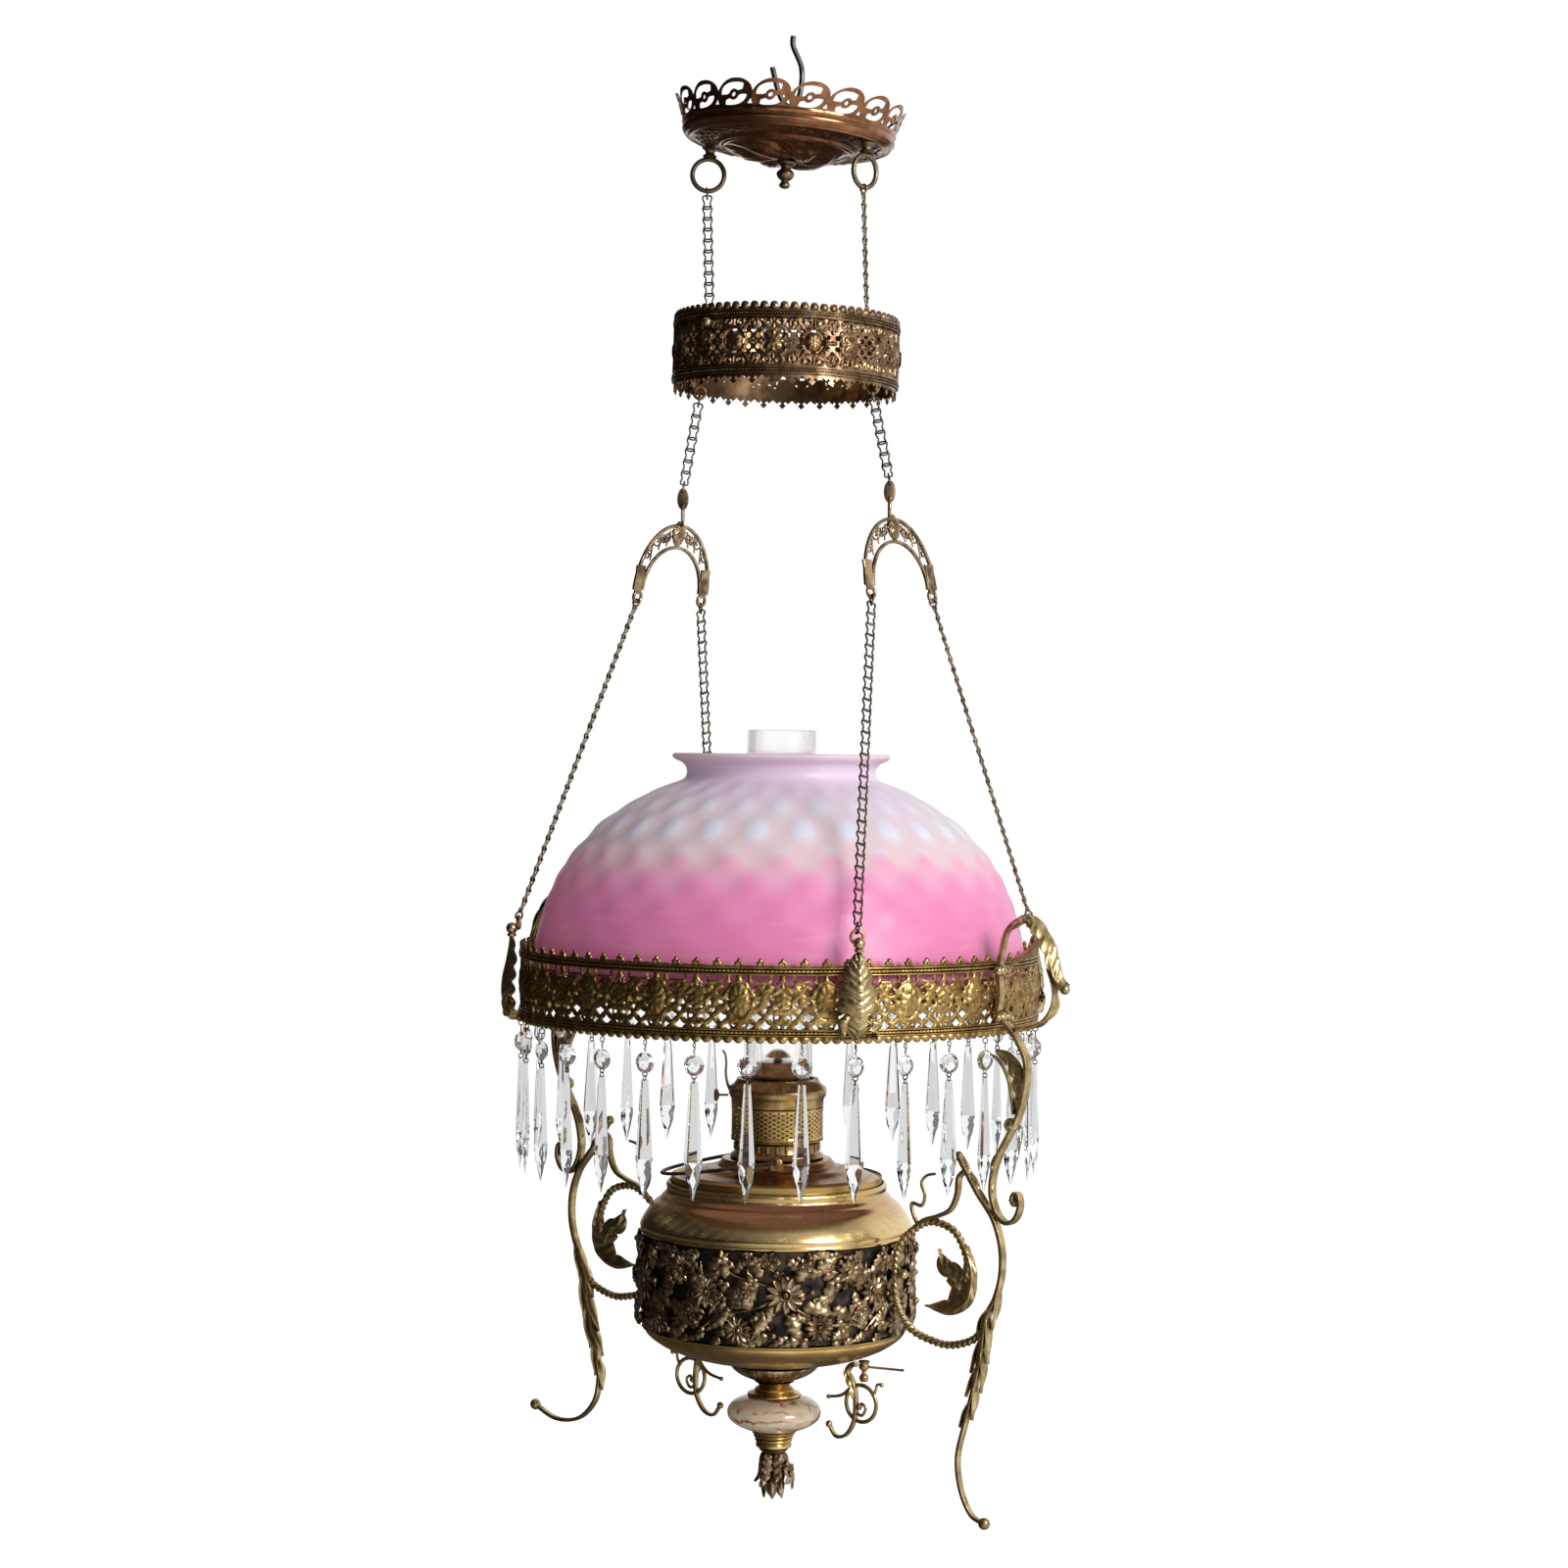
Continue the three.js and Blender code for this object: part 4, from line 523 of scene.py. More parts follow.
FINISH = {  # each with a slot name
    # In each metal the third colour is the painted shade laid in its recesses.
    "iron": (old_metal("blackened iron", (118, 118, 114), (76, 75, 72), (24, 23, 22), 0.34), "iron"),
    "chain": (old_metal("darkened chain brass", (150, 138, 116), (92, 82, 68), (34, 29, 24), 0.26, 1.6),
              "chain_metal"),
    "copper": (old_metal("coppered brass", (168, 118, 84), (120, 82, 57), (34, 21, 15), 0.13, 2.2, 0.01, 0.9),
               "coppered_brass"),
    "brass": (old_metal("antique brass", (206, 184, 138), (156, 134, 92), (30, 22, 14), 0.26, 2.4),
              "antique_brass"),
    "gilt": (old_metal("pierced brass", (190, 158, 100), (138, 110, 64), (28, 20, 12), 0.28, 1.8),
             "antique_brass"),
    "wire": (old_metal("brown wire", (136, 120, 100), (112, 98, 80), (58, 48, 38), 0.28, 3.0), "dark_bronze"),
    "bronze": (old_metal("dark bronze", (190, 164, 130), (104, 84, 62), (16, 12, 10), 0.23, 2.0),
               "dark_bronze"),
    "band": (old_metal("brown pressed brass", (158, 130, 98), (104, 78, 56), (16, 12, 9), 0.26, 1.6),
             "dark_bronze"),
    "polished": (old_metal("polished brass", (218, 184, 118), (196, 160, 96), (84, 60, 32), 0.16, 4, 0.01),
                 "polished_brass"),
    "burner": (old_metal("warm burner brass", (186, 158, 108), (142, 114, 72), (38, 26, 17), 0.2),
               "antique_brass"),
    # Near-black brass for the sheet and liner behind the flowers: painted shade in the gaps between the
    # blossoms.
    "painted_shade_black": (old_metal("near-black brass for painted shade", (84, 74, 64), (46, 41, 37), (8, 7, 6), 0.36), "dark_bronze"),
    "shoulder": (shoulder_brass(), "polished_brass"),
    "fount": (fount_brass(), "polished_brass"),
    "onyx": (onyx(), "banded_onyx"),
    "shade": (shade_glass(), "satin_glass"),
    "cut glass": (glass("cut glass", (250, 252, 252), 1.54), "cut_glass"),
    "chimney": (glass("clear chimney glass", (252, 253, 253), 1.3, clear=0.7), "clear_glass"),
}


# Pattern marks: how far a point is inside a mark, in millimetres

def cell(x, pitch, shift=0.0):
    """x within its own repeat, from -pitch / 2 to pitch / 2."""
    return (x - shift + pitch / 2) % pitch - pitch / 2


def disc(x, y, radius, cx=0.0, cy=0.0, wide=1.0):
    return radius - np.hypot((x - cx) / wide, y - cy)


def hoop(x, y, radius, line, cx=0.0, cy=0.0, wide=1.0):
    return line / 2 - np.abs(np.hypot((x - cx) / wide, y - cy) - radius)


def stroke(x, y, start, end, line):
    """A straight mark with round ends: half its line less the distance to the nearest point of it."""
    (x0, y0), (x1, y1) = start, end
    run = (x1 - x0) ** 2 + (y1 - y0) ** 2
    t = np.clip(((x - x0) * (x1 - x0) + (y - y0) * (y1 - y0)) / run, 0, 1)
    return line / 2 - np.hypot(x - x0 - t * (x1 - x0), y - y0 - t * (y1 - y0))


def both(*marks):
    return np.minimum.reduce(marks)


def either(*marks):
    return np.maximum.reduce(marks)


def network(x, y, wide, high, radius, line):
    """Small rings in staggered rows, each touching its neighbours above and below."""
    return either(hoop(cell(x, wide), cell(y, high), radius, line),
                  hoop(cell(x, wide, wide / 2), cell(y, high, high / 2), radius, line))


def dome(inside, depth):
    """A round rise from 0 at a mark's edge to 1 this far inside it."""
    return np.sqrt(np.clip(inside / depth, 0, 1))


def round_wall(radius, flare=lambda y: 0 * y, foot=0.0):
    """Bends a sheet round the axis: x runs round, y up from its foot, out away from the axis."""
    return lambda x, y, out: bent(x / radius, radius + flare(y) + out, y + foot)


# Ceiling hook and canopy

def ceiling_hook():
    """A round wire from the ceiling down and up again to a cut end."""
    shares = [[0.25, 0], [0.25, 0.15], [0.8, 0.45], [0.78, 0.75], [0.5, 0.94], [0.14, 1], [-0.3, 0.96],
              [-0.72, 0.77], [-1.1, 0.45]]
    line = curve(upright(shares, 11, BOW), 72)
    line[:, 2] = np.minimum(line[:, 2], -0.4)
    return swept(line, ROUND, 1.95)


def canopy_hanger():
    """A ring over the hook, its stem, a washer and a nut inside the dish."""
    ring = wire_ring(7, 1.25, (0, 0, 21.5), "X")
    stem = spun([(0, 15.4), (1.9, 15.2), (1.9, -26), (0, -26)], 24)
    nut = spun([(0, -7), (4, -7.4), (5.2, -9), (5.2, -11), (6, -11.2), (7.6, -12.6), (7.8, -14.4),
                (0, -14.4)], 24)
    return join(ring, stem, nut)


def canopy_dish():
    """The pressed underside: its profile turned about Z and lowered by rolls, by 22 leaves |sin(11a + 26s)|
    in a wreath and by six swirling lobes |sin(3a + 5s)| in the middle."""
    shares = [[1, -0.2], [1.01, 0.0], [0.985, 0.16], [0.87, 0.34], [0.72, 0.4], [0.6, 0.55], [0.47, 0.62],
              [0.38, 0.8], [0.17, 0.97], [0.06, 1]]
    a, r, z = wheel(curve(np.array(shares) * (DISH, -17), 110), 252)
    s = r / DISH
    rolls = sum(high * np.exp(-((s - at) / wide) ** 2) for at, wide, high in (
        (0.975, 0.012, 1.1), (0.935, 0.014, 1.3), (0.655, 0.02, 1.7), (0.61, 0.014, 0.9)))
    wreath = np.exp(-((s - 0.79) / 0.085) ** 4)
    leaves = np.abs(np.sin(11 * a + 26 * (s - 0.79))) ** 0.5 * 0.9 + 0.2 * np.cos(44 * a - 60 * s)
    middle = np.exp(-((s - 0.36) / 0.2) ** 4)
    lobes = np.abs(np.sin(3 * a + 5 * s)) ** 0.7 * 2.6 + 0.12 * np.cos(24 * a + 60 * s)
    return walled(bent(a, r, z - rolls - 1.7 * wreath * leaves - 1.7 * middle * lobes), 1.1)


def canopy_gallery():
    """A fence of leaning lobes, each with a slot over and a slot under the bar that carries its eye."""
    length = math.tau * DISH
    pitch = length / 18

    def metal(x, y):
        u = cell(x - 0.3 * (y - 12), pitch)
        v = y - 12.2
        lobe = (1 - np.hypot(u / 13.4, v / 10.7)) * 10
        inside = (1 - np.abs((u + 0.4) / 10.4) ** 2.4 - np.abs((v - 0.5) / 7.5) ** 2.4) * 4
        bar = 1.6 - np.abs(v - 0.3 * u)
        slots = both(inside, -either(bar, disc(u, v, 3.5)), 8.2 - np.abs(u + 2.2 * np.sign(v)))
        return both(either(lobe, 6.2 - y), -slots, -disc(u, v, 1.5))

    def relief(x, y):
        return 0.5 * np.exp(-((y - 3.4) / 0.8) ** 2) + 0.25 * np.cos(cell(x, pitch) / 3)

    wall = round_wall(DISH, lambda y: 7.4 * (y / 23) ** 1.3, 1.2)
    return pierced(length, (0, 22.8), metal, wall, (702, 40), 0.9, relief)


def canopy_finial():
    """A turned acorn with a small ball: radius against depth."""
    shares = [[0.5, 0], [1.05, 0.02], [1.08, 0.1], [0.8, 0.16], [0.55, 0.22], [0.62, 0.3], [0.98, 0.42],
              [1.0, 0.52], [0.78, 0.64], [0.45, 0.72], [0.42, 0.76], [0.62, 0.84], [0.6, 0.92],
              [0.35, 0.985], [0, 1]]
    return spun(np.array(shares) * (6.3, -20) + (0, -17.2), 40, 90)


def screw_eye(turn):
    """A flared cap under the dish and a thick ring below it."""
    cap = spun([(0, -4), (5, -5), (6.2, -6.2), (5.9, -7), (4, -8.2), (3.3, -9.6), (3.4, -10.6), (4.8, -11.6),
                (5.2, -12.6), (3.8, -13.6), (0, -14)], 36)
    ring = placed(wire_ring(11.6, 1.75, (0, 0, -26), count=64), 45 if turn < 0 else 0)
    return placed(join(cap, ring), at=polar(EYES, turn))


def hang_canopy():
    hung = {"tilt": CANOPY_TILT, "at": (0, 0, RIM)}
    work("ceiling_hook", ceiling_hook(), "iron", "hook")
    work("canopy_hanger", canopy_hanger(), "bronze", "canopy", **hung)
    work("canopy_dish", canopy_dish(), "copper", "canopy", **hung)
    work("canopy_gallery", canopy_gallery(), "copper", "canopy", **hung)
    work("canopy_finial", canopy_finial(), "wire", "canopy", slot="antique_brass", **hung)
    for side, turn in SWING.items():
        work(f"screw_eye_{side}", screw_eye(turn), "wire", "canopy", **hung)


# Ladder chains: each link is one bent wire, its ends bowed to either side of the next link's bars

LINK = [(-2.1, 0.8, 4.9), (2.1, 0.8, 4.9), (3.3, 0.55, 3.8), (3.1, 0.2, 2), (2.1, 0, -0.6), (2.6, -0.2, -2.4),
        (2.8, -0.55, -3.8), (1.8, -0.8, -4.9), (-1.8, -0.8, -4.9), (-2.8, -0.55, -3.8), (-2.6, -0.2, -2.4),
        (-2.1, 0, -0.6), (-3.1, 0.2, 2), (-3.3, 0.55, 3.8)]
END_LINK = [(0, -0.3, 2.1), (0, 2.1, 0.9), (0, 2.3, -1.2), (0, 0.9, -3.9), (0, 0.7, -5.3), (0, -0.4, -6.1),
            (0, -1, -5.2), (0, -0.9, -3.9), (0, -2.3, -1.2), (0, -2.1, 0.9)]
CHAINS = {  # top, foot, flat direction
    "upper_chain_right": ((53.79, -32.65, -114.45), (57.17, -32.65, -205.09), (0.3, 0.95, 0)),
    "upper_chain_left": ((-59.04, 32.65, -106.56), (-55.91, 32.65, -202.52), (1, 0, 0)),
    "mid_chain_right": ((61.71, -36, -260.61), (74.48, -43, -323.9), (1, 0, 0)),
    "mid_chain_left": ((-62.97, 36, -257.78), (-74.48, 43, -323.9), (1, 0, 0)),
    "lower_chain_front": ((61.79, -78.04, -407.38), (51.68, -183.87, -633.7), (0.84, 0.54, 0)),
    "lower_chain_right": ((106.79, -24.42, -407.38), (183.87, 51.68, -633.7), (0.21, 0.98, 0)),
    "lower_chain_back": ((-61.79, 78.04, -407.38), (-51.68, 183.87, -633.7), (-0.84, -0.54, 0)),
    "lower_chain_left": ((-106.79, 24.42, -407.38), (-183.87, -51.68, -633.7), (-0.21, -0.98, 0)),
}


def chain(top, foot, flat):
    """Links in line from one wire to another, their bars along the flat direction."""
    top, foot = np.array(top, float), np.array(foot, float)
    length = np.linalg.norm(foot - top)
    z = (top - foot) / length
    x = unit(np.array(flat, float) - np.dot(flat, z) * z)
    inset, usual_pitch = 4.4, 8.2
    count = round((length - 2 * inset) / usual_pitch)
    pitch = (length - 2 * inset) / count
    link, end = curve(LINK, 26, True), curve(END_LINK, 24, True)
    links = [swept(link + (0, 0, -inset - (k + 0.5) * pitch), HEX, 0.68, closed=True) for k in range(count)]
    ends = [swept(line, FINE, 0.75, (1, 0, 0),
                  closed=True) for line in (end, end * (1, 1, -1) + (0, 0, -length))]
    points, quads = join(*links, *ends)
    return points @ np.stack([x, np.cross(z, x), z]) + top, quads


def hang_chains():
    for node, (top, foot, flat) in CHAINS.items():
        body = "frame" if node.startswith("lower") else "suspension"
        make(node + "_links", chain(top, foot, flat), "chain", body, node, crease=60)


# Pierced band that spreads the chains

def rosette_band(x, y, pitch):
    """Lattice of a pierced band: a ringed medallion in every repeat, four-lobed rings between, joined by
    scroll bars to two rails."""
    u, w, v = cell(x, pitch), cell(x, pitch, pitch / 2), np.abs(y)
    au, aw = np.abs(u), np.abs(w)
    medal = [disc(u, y, 6.4, wide=0.92), hoop(u, y, 9.6, 1.5, wide=0.92)]
    flower = [disc(w, y, 3.1), disc(aw, v, 1.9, 3.4, 3.4),
              *[hoop(w, y, 4.4, 1.5, sx * 4.2, sy * 4.6) for sx in (-1, 1) for sy in (-1, 1)]]
    ties = [stroke(au, v, start, end, 1.5) for start, end in (
        ((6.4, 7), (12, 15.8)), ((8.8, 0), (16, 0)), ((0, 9.5), (0, 16)), ((13, 15.5), (15, 9)))]
    scrolls = [hoop(au, v, 3.4, 1.4, 14.2, 12.2), hoop(au, v, 2.6, 1.3, 4.8, 13.4),
               disc(au, v, 1.6, 14.2, 12.2),
               stroke(aw, v, (0, 9), (0, 16), 1.5), hoop(aw, v, 2.5, 1.3, 4.4, 13.4)]
    return either(v - 16.2, *medal, *flower, *ties, *scrolls)


def band_relief(x, y, pitch):
    """How far the band's marks stand out: domes on its medallions and flowers, rolls on its rails."""
    u, w = cell(x, pitch), cell(x, pitch, pitch / 2)
    medal = np.clip(disc(u, y, 7, wide=0.92), 0, 3) * 0.45
    petals = 0.35 * np.cos(8 * np.arctan2(y, u)) * (disc(u, y, 6) > 0)
    flower = np.clip(disc(w, y, 5), 0, 2) * 0.4
    rings = 0.5 * np.clip(hoop(u, y, 9.6, 2.4, wide=0.92), 0, 1)
    grain = 0.06 * np.cos(1.9 * x + 0.8 * y) * np.cos(1.7 * y)
    return np.clip(medal + petals + flower + rings + grain, 0, 2)


def band_sheet():
    """The band's wall: a crown of round teeth, nine repeats of the lattice, and a hem of pointed teeth with
    pairs of holes."""
    length = math.tau * 81.3
    pitch, tooth, middle = length / 9, length / 72, 1.5

    def metal(x, y):
        crown = disc(cell(x, tooth), y, 3.1, 0, 26.2)
        hem = np.abs(cell(x, length / 36))
        holes = disc(hem, y, 1.15, 2.3, -24.4)
        fill = network(x, y - middle, pitch / 8, 7.6, 2.6, 1.4)
        field = either(rosette_band(x, y - middle, pitch) + 0.3, fill, np.abs(y - middle) - 15.2)
        return both(either(crown, 25.5 - y), y + 28.4 - 0.9 * hem, -holes, field)

    def relief(x, y):
        knob = 1.3 * dome(6.2 - cell(x, tooth) ** 2 - (y - 25.8) ** 2, 6.2)
        lines = 1.2 * dome(rosette_band(x, y - middle, pitch), 0.6)
        return knob + (lines + band_relief(x, y - middle, pitch)) * (np.abs(y - middle) < 16)

    return pierced(length, (-28.4, 29.2), metal, round_wall(BAND_WALL), (648, 80), 0.9, relief)


def rolls(radius, levels, size, count):
    """Rings of wire lying on a wall."""
    return join(*[wire_ring(radius, size, (0, 0, z), "Z", count, FINE) for z in levels])


def band_trim():
    """Two rails, each a row of beads between rolls."""
    rows = [around(ball(0.72, (81.4, 0, z), 5, 6), np.arange(240) * 1.5) for z in (20.85, -18.45)]
    return join(rolls(81.2, (22.9, 18.8, -16.4, -20.5), 0.62, 180), *rows)


def band_hook(turn):
    """A strap inside the band, bent to an eye above and an eye below."""
    strap = wire([(69, 0, 23.5), (75.5, 0, 18.5), (78.6, 0, 9), (78.6, 0, -9), (77.2, 0, -17.5),
                  (75.6, 0, -23.5)],
                 40, (3.2, 1.1), section=STRAP)
    eyes = [placed(wire_ring(4.2, 1.15, count=36), -turn, at=(x, 0, z)) for x,
            z in ((65.3, 23.5), (72, -23.5))]
    return placed(join(strap, *eyes), turn)


def seam_bolt():
    """The ball head and the shank of the bolt that shuts the band's seam."""
    shank = placed(spun([(0, 0), (2, 0), (2.2, 3.6), (0, 3.6)], 16), 0, 90, (81.5, 0, 15))
    return placed(join(ball(3.4, (84.9, 0, 15), 14, 24), shank), -131)


def hang_band():
    hung = {"tilt": BAND_TILT, "at": (0, 0, BAND)}
    make("band_wall_work", band_sheet(), "band", "suspension", "chain_band", crease=75, **hung)
    make("band_rails_work", band_trim(), "band", "suspension", crease=60, **hung)
    for side, turn in SWING.items():
        work(f"band_hook_{side}", band_hook(turn), "bronze", "suspension", **hung)
    make("seam_bolt_work", seam_bolt(), "brass", "suspension", "band_seam_bolt", slot="dark_bronze", **hung)


# Oval tabs and filigree yokes

def spiral(centre, size, spin, start, mirror):
    """A scroll: its radius shrinks from size as it winds one and a quarter turns round its centre."""
    t = np.linspace(0, 1, 40)
    a, r = start + spin * t * 2.5 * np.pi, size * (1 - 0.72 * t)
    return upright(np.stack([mirror * (centre[0] + r * np.cos(a)), centre[1] + r * np.sin(a)], 1), 1, 1)


def yoke_plate():
    """One yoke in the X-Z plane: a rim and an arch that meet in two legs, with scrolls between them."""
    a = np.linspace(0, np.pi, 61)
    lines = [swept(upright(np.stack([np.cos(a), np.sin(a)], 1), wide, high), STRAP, [1.15, 1.2])
             for wide, high in ((39.6, 49.3), (31.2, 33))]
    for sign in (1, -1):
        leg = upright([(sign * 35.4, z) for z in np.linspace(18, -3, 12)], 1, 1)
        lines += [swept(leg, STRAP, np.linspace((1.2, 4.8), (1.2, 3.4), 12)),
                  wire_ring(3.9, 1.25, (sign * 35, 0, -5), count=40)]
        lines += [swept(spiral(*scroll, sign), FINE, (0.85, 0.62)) for scroll in (
            ((22.5, 37.2), 5.1, 1, 2.6), ((11.4, 40.4), 4.2, -1, 0.4), ((30.6, 26.2), 3.6, -1, 2.2),
            ((15, 37.3), 2.4, 1, 0.2))]
        lines += [swept(upright(tie, sign, 1), FINE, (0.8, 0.6)) for tie in (
            ((9, 45), (12, 33.4)), ((26.5, 34.5), (27, 22)), ((18.2, 42.6), (19.6, 30.2)))]
    return join(*lines)


def yoke_cone():
    """The leaf at the yoke's head: a pointed oval, rough with rows of small scales."""
    v = np.linspace(0, 1, 40)[:, None]
    a = full_turn(48)[None]
    half = 6.6 * np.sin(np.pi * np.clip(v * 0.94 + 0.05, 0, 1)) ** 0.75
    scales = 1 + 0.09 * np.cos(8 * a + np.pi * np.floor(v * 9)) * np.abs(np.sin(np.pi * v * 9))
    points = bent(a, half * scales, 52.5 - 19.5 * v) * (1, 0.42, 1)
    return grid(np.concatenate([points[:1] * (0, 0, 1), points, points[-1:] * (0, 0, 1)]))


def chain_tab():
    """A thin oval plate, bossed along its middle, with a hole at each end."""
    a = full_turn(48)
    rows = [np.stack([4.2 * np.cos(a) * grow, y + 0 * a, 8 * np.sin(a) * grow], 1) for y, grow in (
        (-0.95, 0.02), (-0.95, 0.6), (-0.7, 0.93), (0, 1), (0.7, 0.93), (0.95, 0.6), (0.95, 0.02))]
    return join(grid(np.stack(rows)), *[wire_ring(1.9, 0.55, (0, 0, z), "Y", 20, FINE) for z in (4.1, -4.1)])


def hang_yokes():
    """Each yoke leans with its chains; a link through the tab's lower hole carries it."""
    lean = math.degrees(math.asin(8.7 / 50))
    for side, turn in SWING.items():
        head = polar(YOKES, turn, YOKE_HEAD)
        yoke = placed(placed(join(yoke_plate(), yoke_cone()), at=(0, 0, -64.8)), -90)
        yoke = placed(yoke, 140 if side == "right" else 320, lean, head)
        link = placed(wire_ring(7.4, 1.1, (0, 0, -7.4), "X", 40), at=head)
        work(f"yoke_{side}", join(yoke, link), "bronze", crease=55)
        work(f"chain_tab_{side}", chain_tab(), "bronze", "suspension", at=polar(YOKES, turn, -330.8))


# Shade ring: a pierced wall between two beaded rails, with trefoils above and scallops below

FLOWER, OVAL, LOW = -22.6, -22.2, -33.2  # levels of the flower, the medallion and the flower's lower ring
PETALS = [(3.9 * math.sin(a), FLOWER + 3.9 * math.cos(a)) for a in full_turn(6)]
TREFOIL = ((1.5, 0, 4.4), (1.35, 1.9, 2.3), (0.9, 6.1, 0.9))


def ring_lattice(x, y, pitch):
    """Flowers in double rings between leafy oval medallions, with slots along the top and a net of small
    openings over a net of wide ones; y runs from 0 at the top rail to -46 at the foot."""
    u, w = cell(x, pitch), cell(x, pitch, pitch / 2)
    au, aw = np.abs(u), np.abs(w)
    discs = [disc(u, y, 1.75, *petal) for petal in PETALS] + [disc(near, y, *mark) for near, *mark in (
        (u, 2.1, 0, FLOWER), (u, 1.3, 0, LOW), (w, 11.6, 0, OVAL, 0.6), (w, 1.7, 0, -38.6),
        (u, 1.5, 0, -11.6, 0.7),
        (au, 1.2, 13.4, -12.8), (au, 1.9, 9.2, -14.6), (au, 2.6, 12.8, -23.1))]
    hoops = [hoop(near, y, *mark) for near, *mark in (
        (u, 7.6, 1.3, 0, FLOWER), (u, 5.6, 1.2, 0, LOW), (w, 13.2, 1.3, 0, OVAL, 0.68),
        (aw, 2.6, 1.3, 3.2, -38.2),
        (u, 4.4, 1.1, 0, -12.6, 0.8), (au, 2.9, 1.1, 13.4, -12.8), (au, 2.5, 1.1, 17.2, -23.1))]
    strokes = [stroke(near, y, *mark) for near, *mark in (
        (au, (0, LOW), (3.8, -37), 0.9), (au, (0, LOW), (3.8, -29.6), 0.9), (u, (0, -38), (0, -42.5), 2.2),
        (w, (0, -4), (0, -10), 4), (au, (4, -15), (10.5, -10), 1.2), (au, (9, -9.6), (22, -9.6), 1.2),
        (au, (8, -19.6), (21, -19.6), 1.2), (au, (8, -26.6), (21, -26.6), 1.2),
        (au, (12.8, -19), (12.8, -27.4), 1.3),
        (au, (7.4, -16), (12.4, -19.4), 1.3), (aw, (7.2, -4), (7.2, -10), 2.2), (au, (0, -4), (0, -9.6), 3.4),
        (au, (7.6, -5), (7.6, -9.6), 1.2))]
    small = both(network(x, y, pitch / 7, 8.2, 3.1, 1.1), -12.4 - y, y + 32)
    wide = both(network(x, y + 2.2, pitch / 5, 12.4, 5.4, 1.3), -28 - y, y + 44)
    return either(*discs, *hoops, *strokes, small, wide)


def ring_relief(x, y, pitch):
    """Domes on flowers and medallions, and veined leaves in their hollows."""
    u, w = cell(x, pitch), cell(x, pitch, pitch / 2)
    leaves = 1 + 0.6 * np.cos(9 * np.arctan2(y - OVAL, w / 0.7))
    medal = np.clip(disc(w, y, 11.6, 0, OVAL, 0.62), 0,
                    4) * 0.3 * leaves + dome(disc(w, y, 4.2, 0, OVAL, 0.7), 4.2)
    rims = sum(high * np.clip(hoop(near, y, *mark), 0, 1) for high, near, *mark in (
        (0.8, w, 13.2, 2.4, 0, OVAL, 0.68), (0.8, u, 7.6, 2.4, 0, FLOWER), (0.5, u, 5.6, 2.2, 0, LOW)))
    flower = 1.2 * dome(disc(u, y, 2.4, 0, FLOWER),
                        2.4) + sum(0.9 * dome(disc(u, y, 1.9, *at), 1.9) for at in PETALS)
    grain = 0.07 * np.cos(1.7 * x + 1.1 * y) * np.cos(1.5 * y - 0.6 * x)
    return np.clip(medal + rims + flower + grain, -0.2, 2.4)


def ring_sheet():
    """The wall with 20 repeats of its lattice, 80 trefoils along the top and 160 scallops along the foot."""
    length = math.tau * RING_WALL
    pitch, tooth, scallop = length / 20, length / 80, length / 160

    def knobs(x, y):
        return [(disc(np.abs(cell(x, tooth)), y, *knob), knob[0]) for knob in TREFOIL]

    def metal(x, y):
        crown = either(*[mark for mark, _ in knobs(x, y)], 0.9 - y)
        foot = either(disc(cell(x, scallop), y, 3.3, 0, -47.6), y + 46)
        field = either(ring_lattice(x, y, pitch) + 0.1, y + 5.2, -41.6 - y)
        return both(crown, foot, field)

    def relief(x, y):
        crown = sum(1.5 * dome(*knob) for knob in knobs(x, y))
        drops = 1.2 * dome(disc(cell(x, scallop), y, 2.8, 0, -48), 2.8) * (y < -46)
        lines = 0.9 * dome(ring_lattice(x, y, pitch), 0.6)
        return crown + drops + (lines - 0.4 + 0.7 * ring_relief(x, y, pitch)) * ((y < -5) & (y > -42))

    return pierced(length, (-51.2, 6.4), metal, round_wall(RING_WALL - 0.6), (1020, 53), 1.0, relief)


def beaded_roll(radius, level, count, size):
    """A ring of wire notched into beads: its half width follows |sin| four points to a bead."""
    share = np.arange(count * 4) + 0.5
    swell = size * (0.55 + 0.45 * np.abs(np.sin(np.pi * share / 4)))
    return swept(bent(full_turn(count * 4), radius, level), HEX, swell, (0, 0, 1), closed=True)


def ring_rails():
    """Two rails, each a beaded roll between plain ones."""
    beaded = [beaded_roll(RING_WALL + 0.1, z, 400, 1.15) for z in (-2.75, -43.75)]
    return join(rolls(RING_WALL, (-0.6, -4.9, -41.9, -45.6), (0.7, 0.8), 220), *beaded)


def ring_ledge():
    """An inward shelf with a rolled inner edge."""
    return spun([(184.4, -17.4), (184.4, -18.9), (172.6, -18.9), (170.6, -18.5), (170.4, -17.9),
                 (171, -17.4)], 144,
                closed=True)


# Cut-glass strings

def cut_bead():
    """A flat round bead cut in rows of sixteen facets: rings of corners, each turned half a step."""
    rings = enumerate([(1.6, 3.3), (4.9, 2.9), (7.2, 0), (4.9, -2.9), (1.6, -3.3)])
    rows = [bent(full_turn(16, 0.5 * (k % 2)), r, y)[:, [0, 2, 1]] for k, (r, y) in rings]
    return grid(np.stack([rows[0] * (0, 1, 0), *rows, rows[-1] * (0, 1, 0)]))


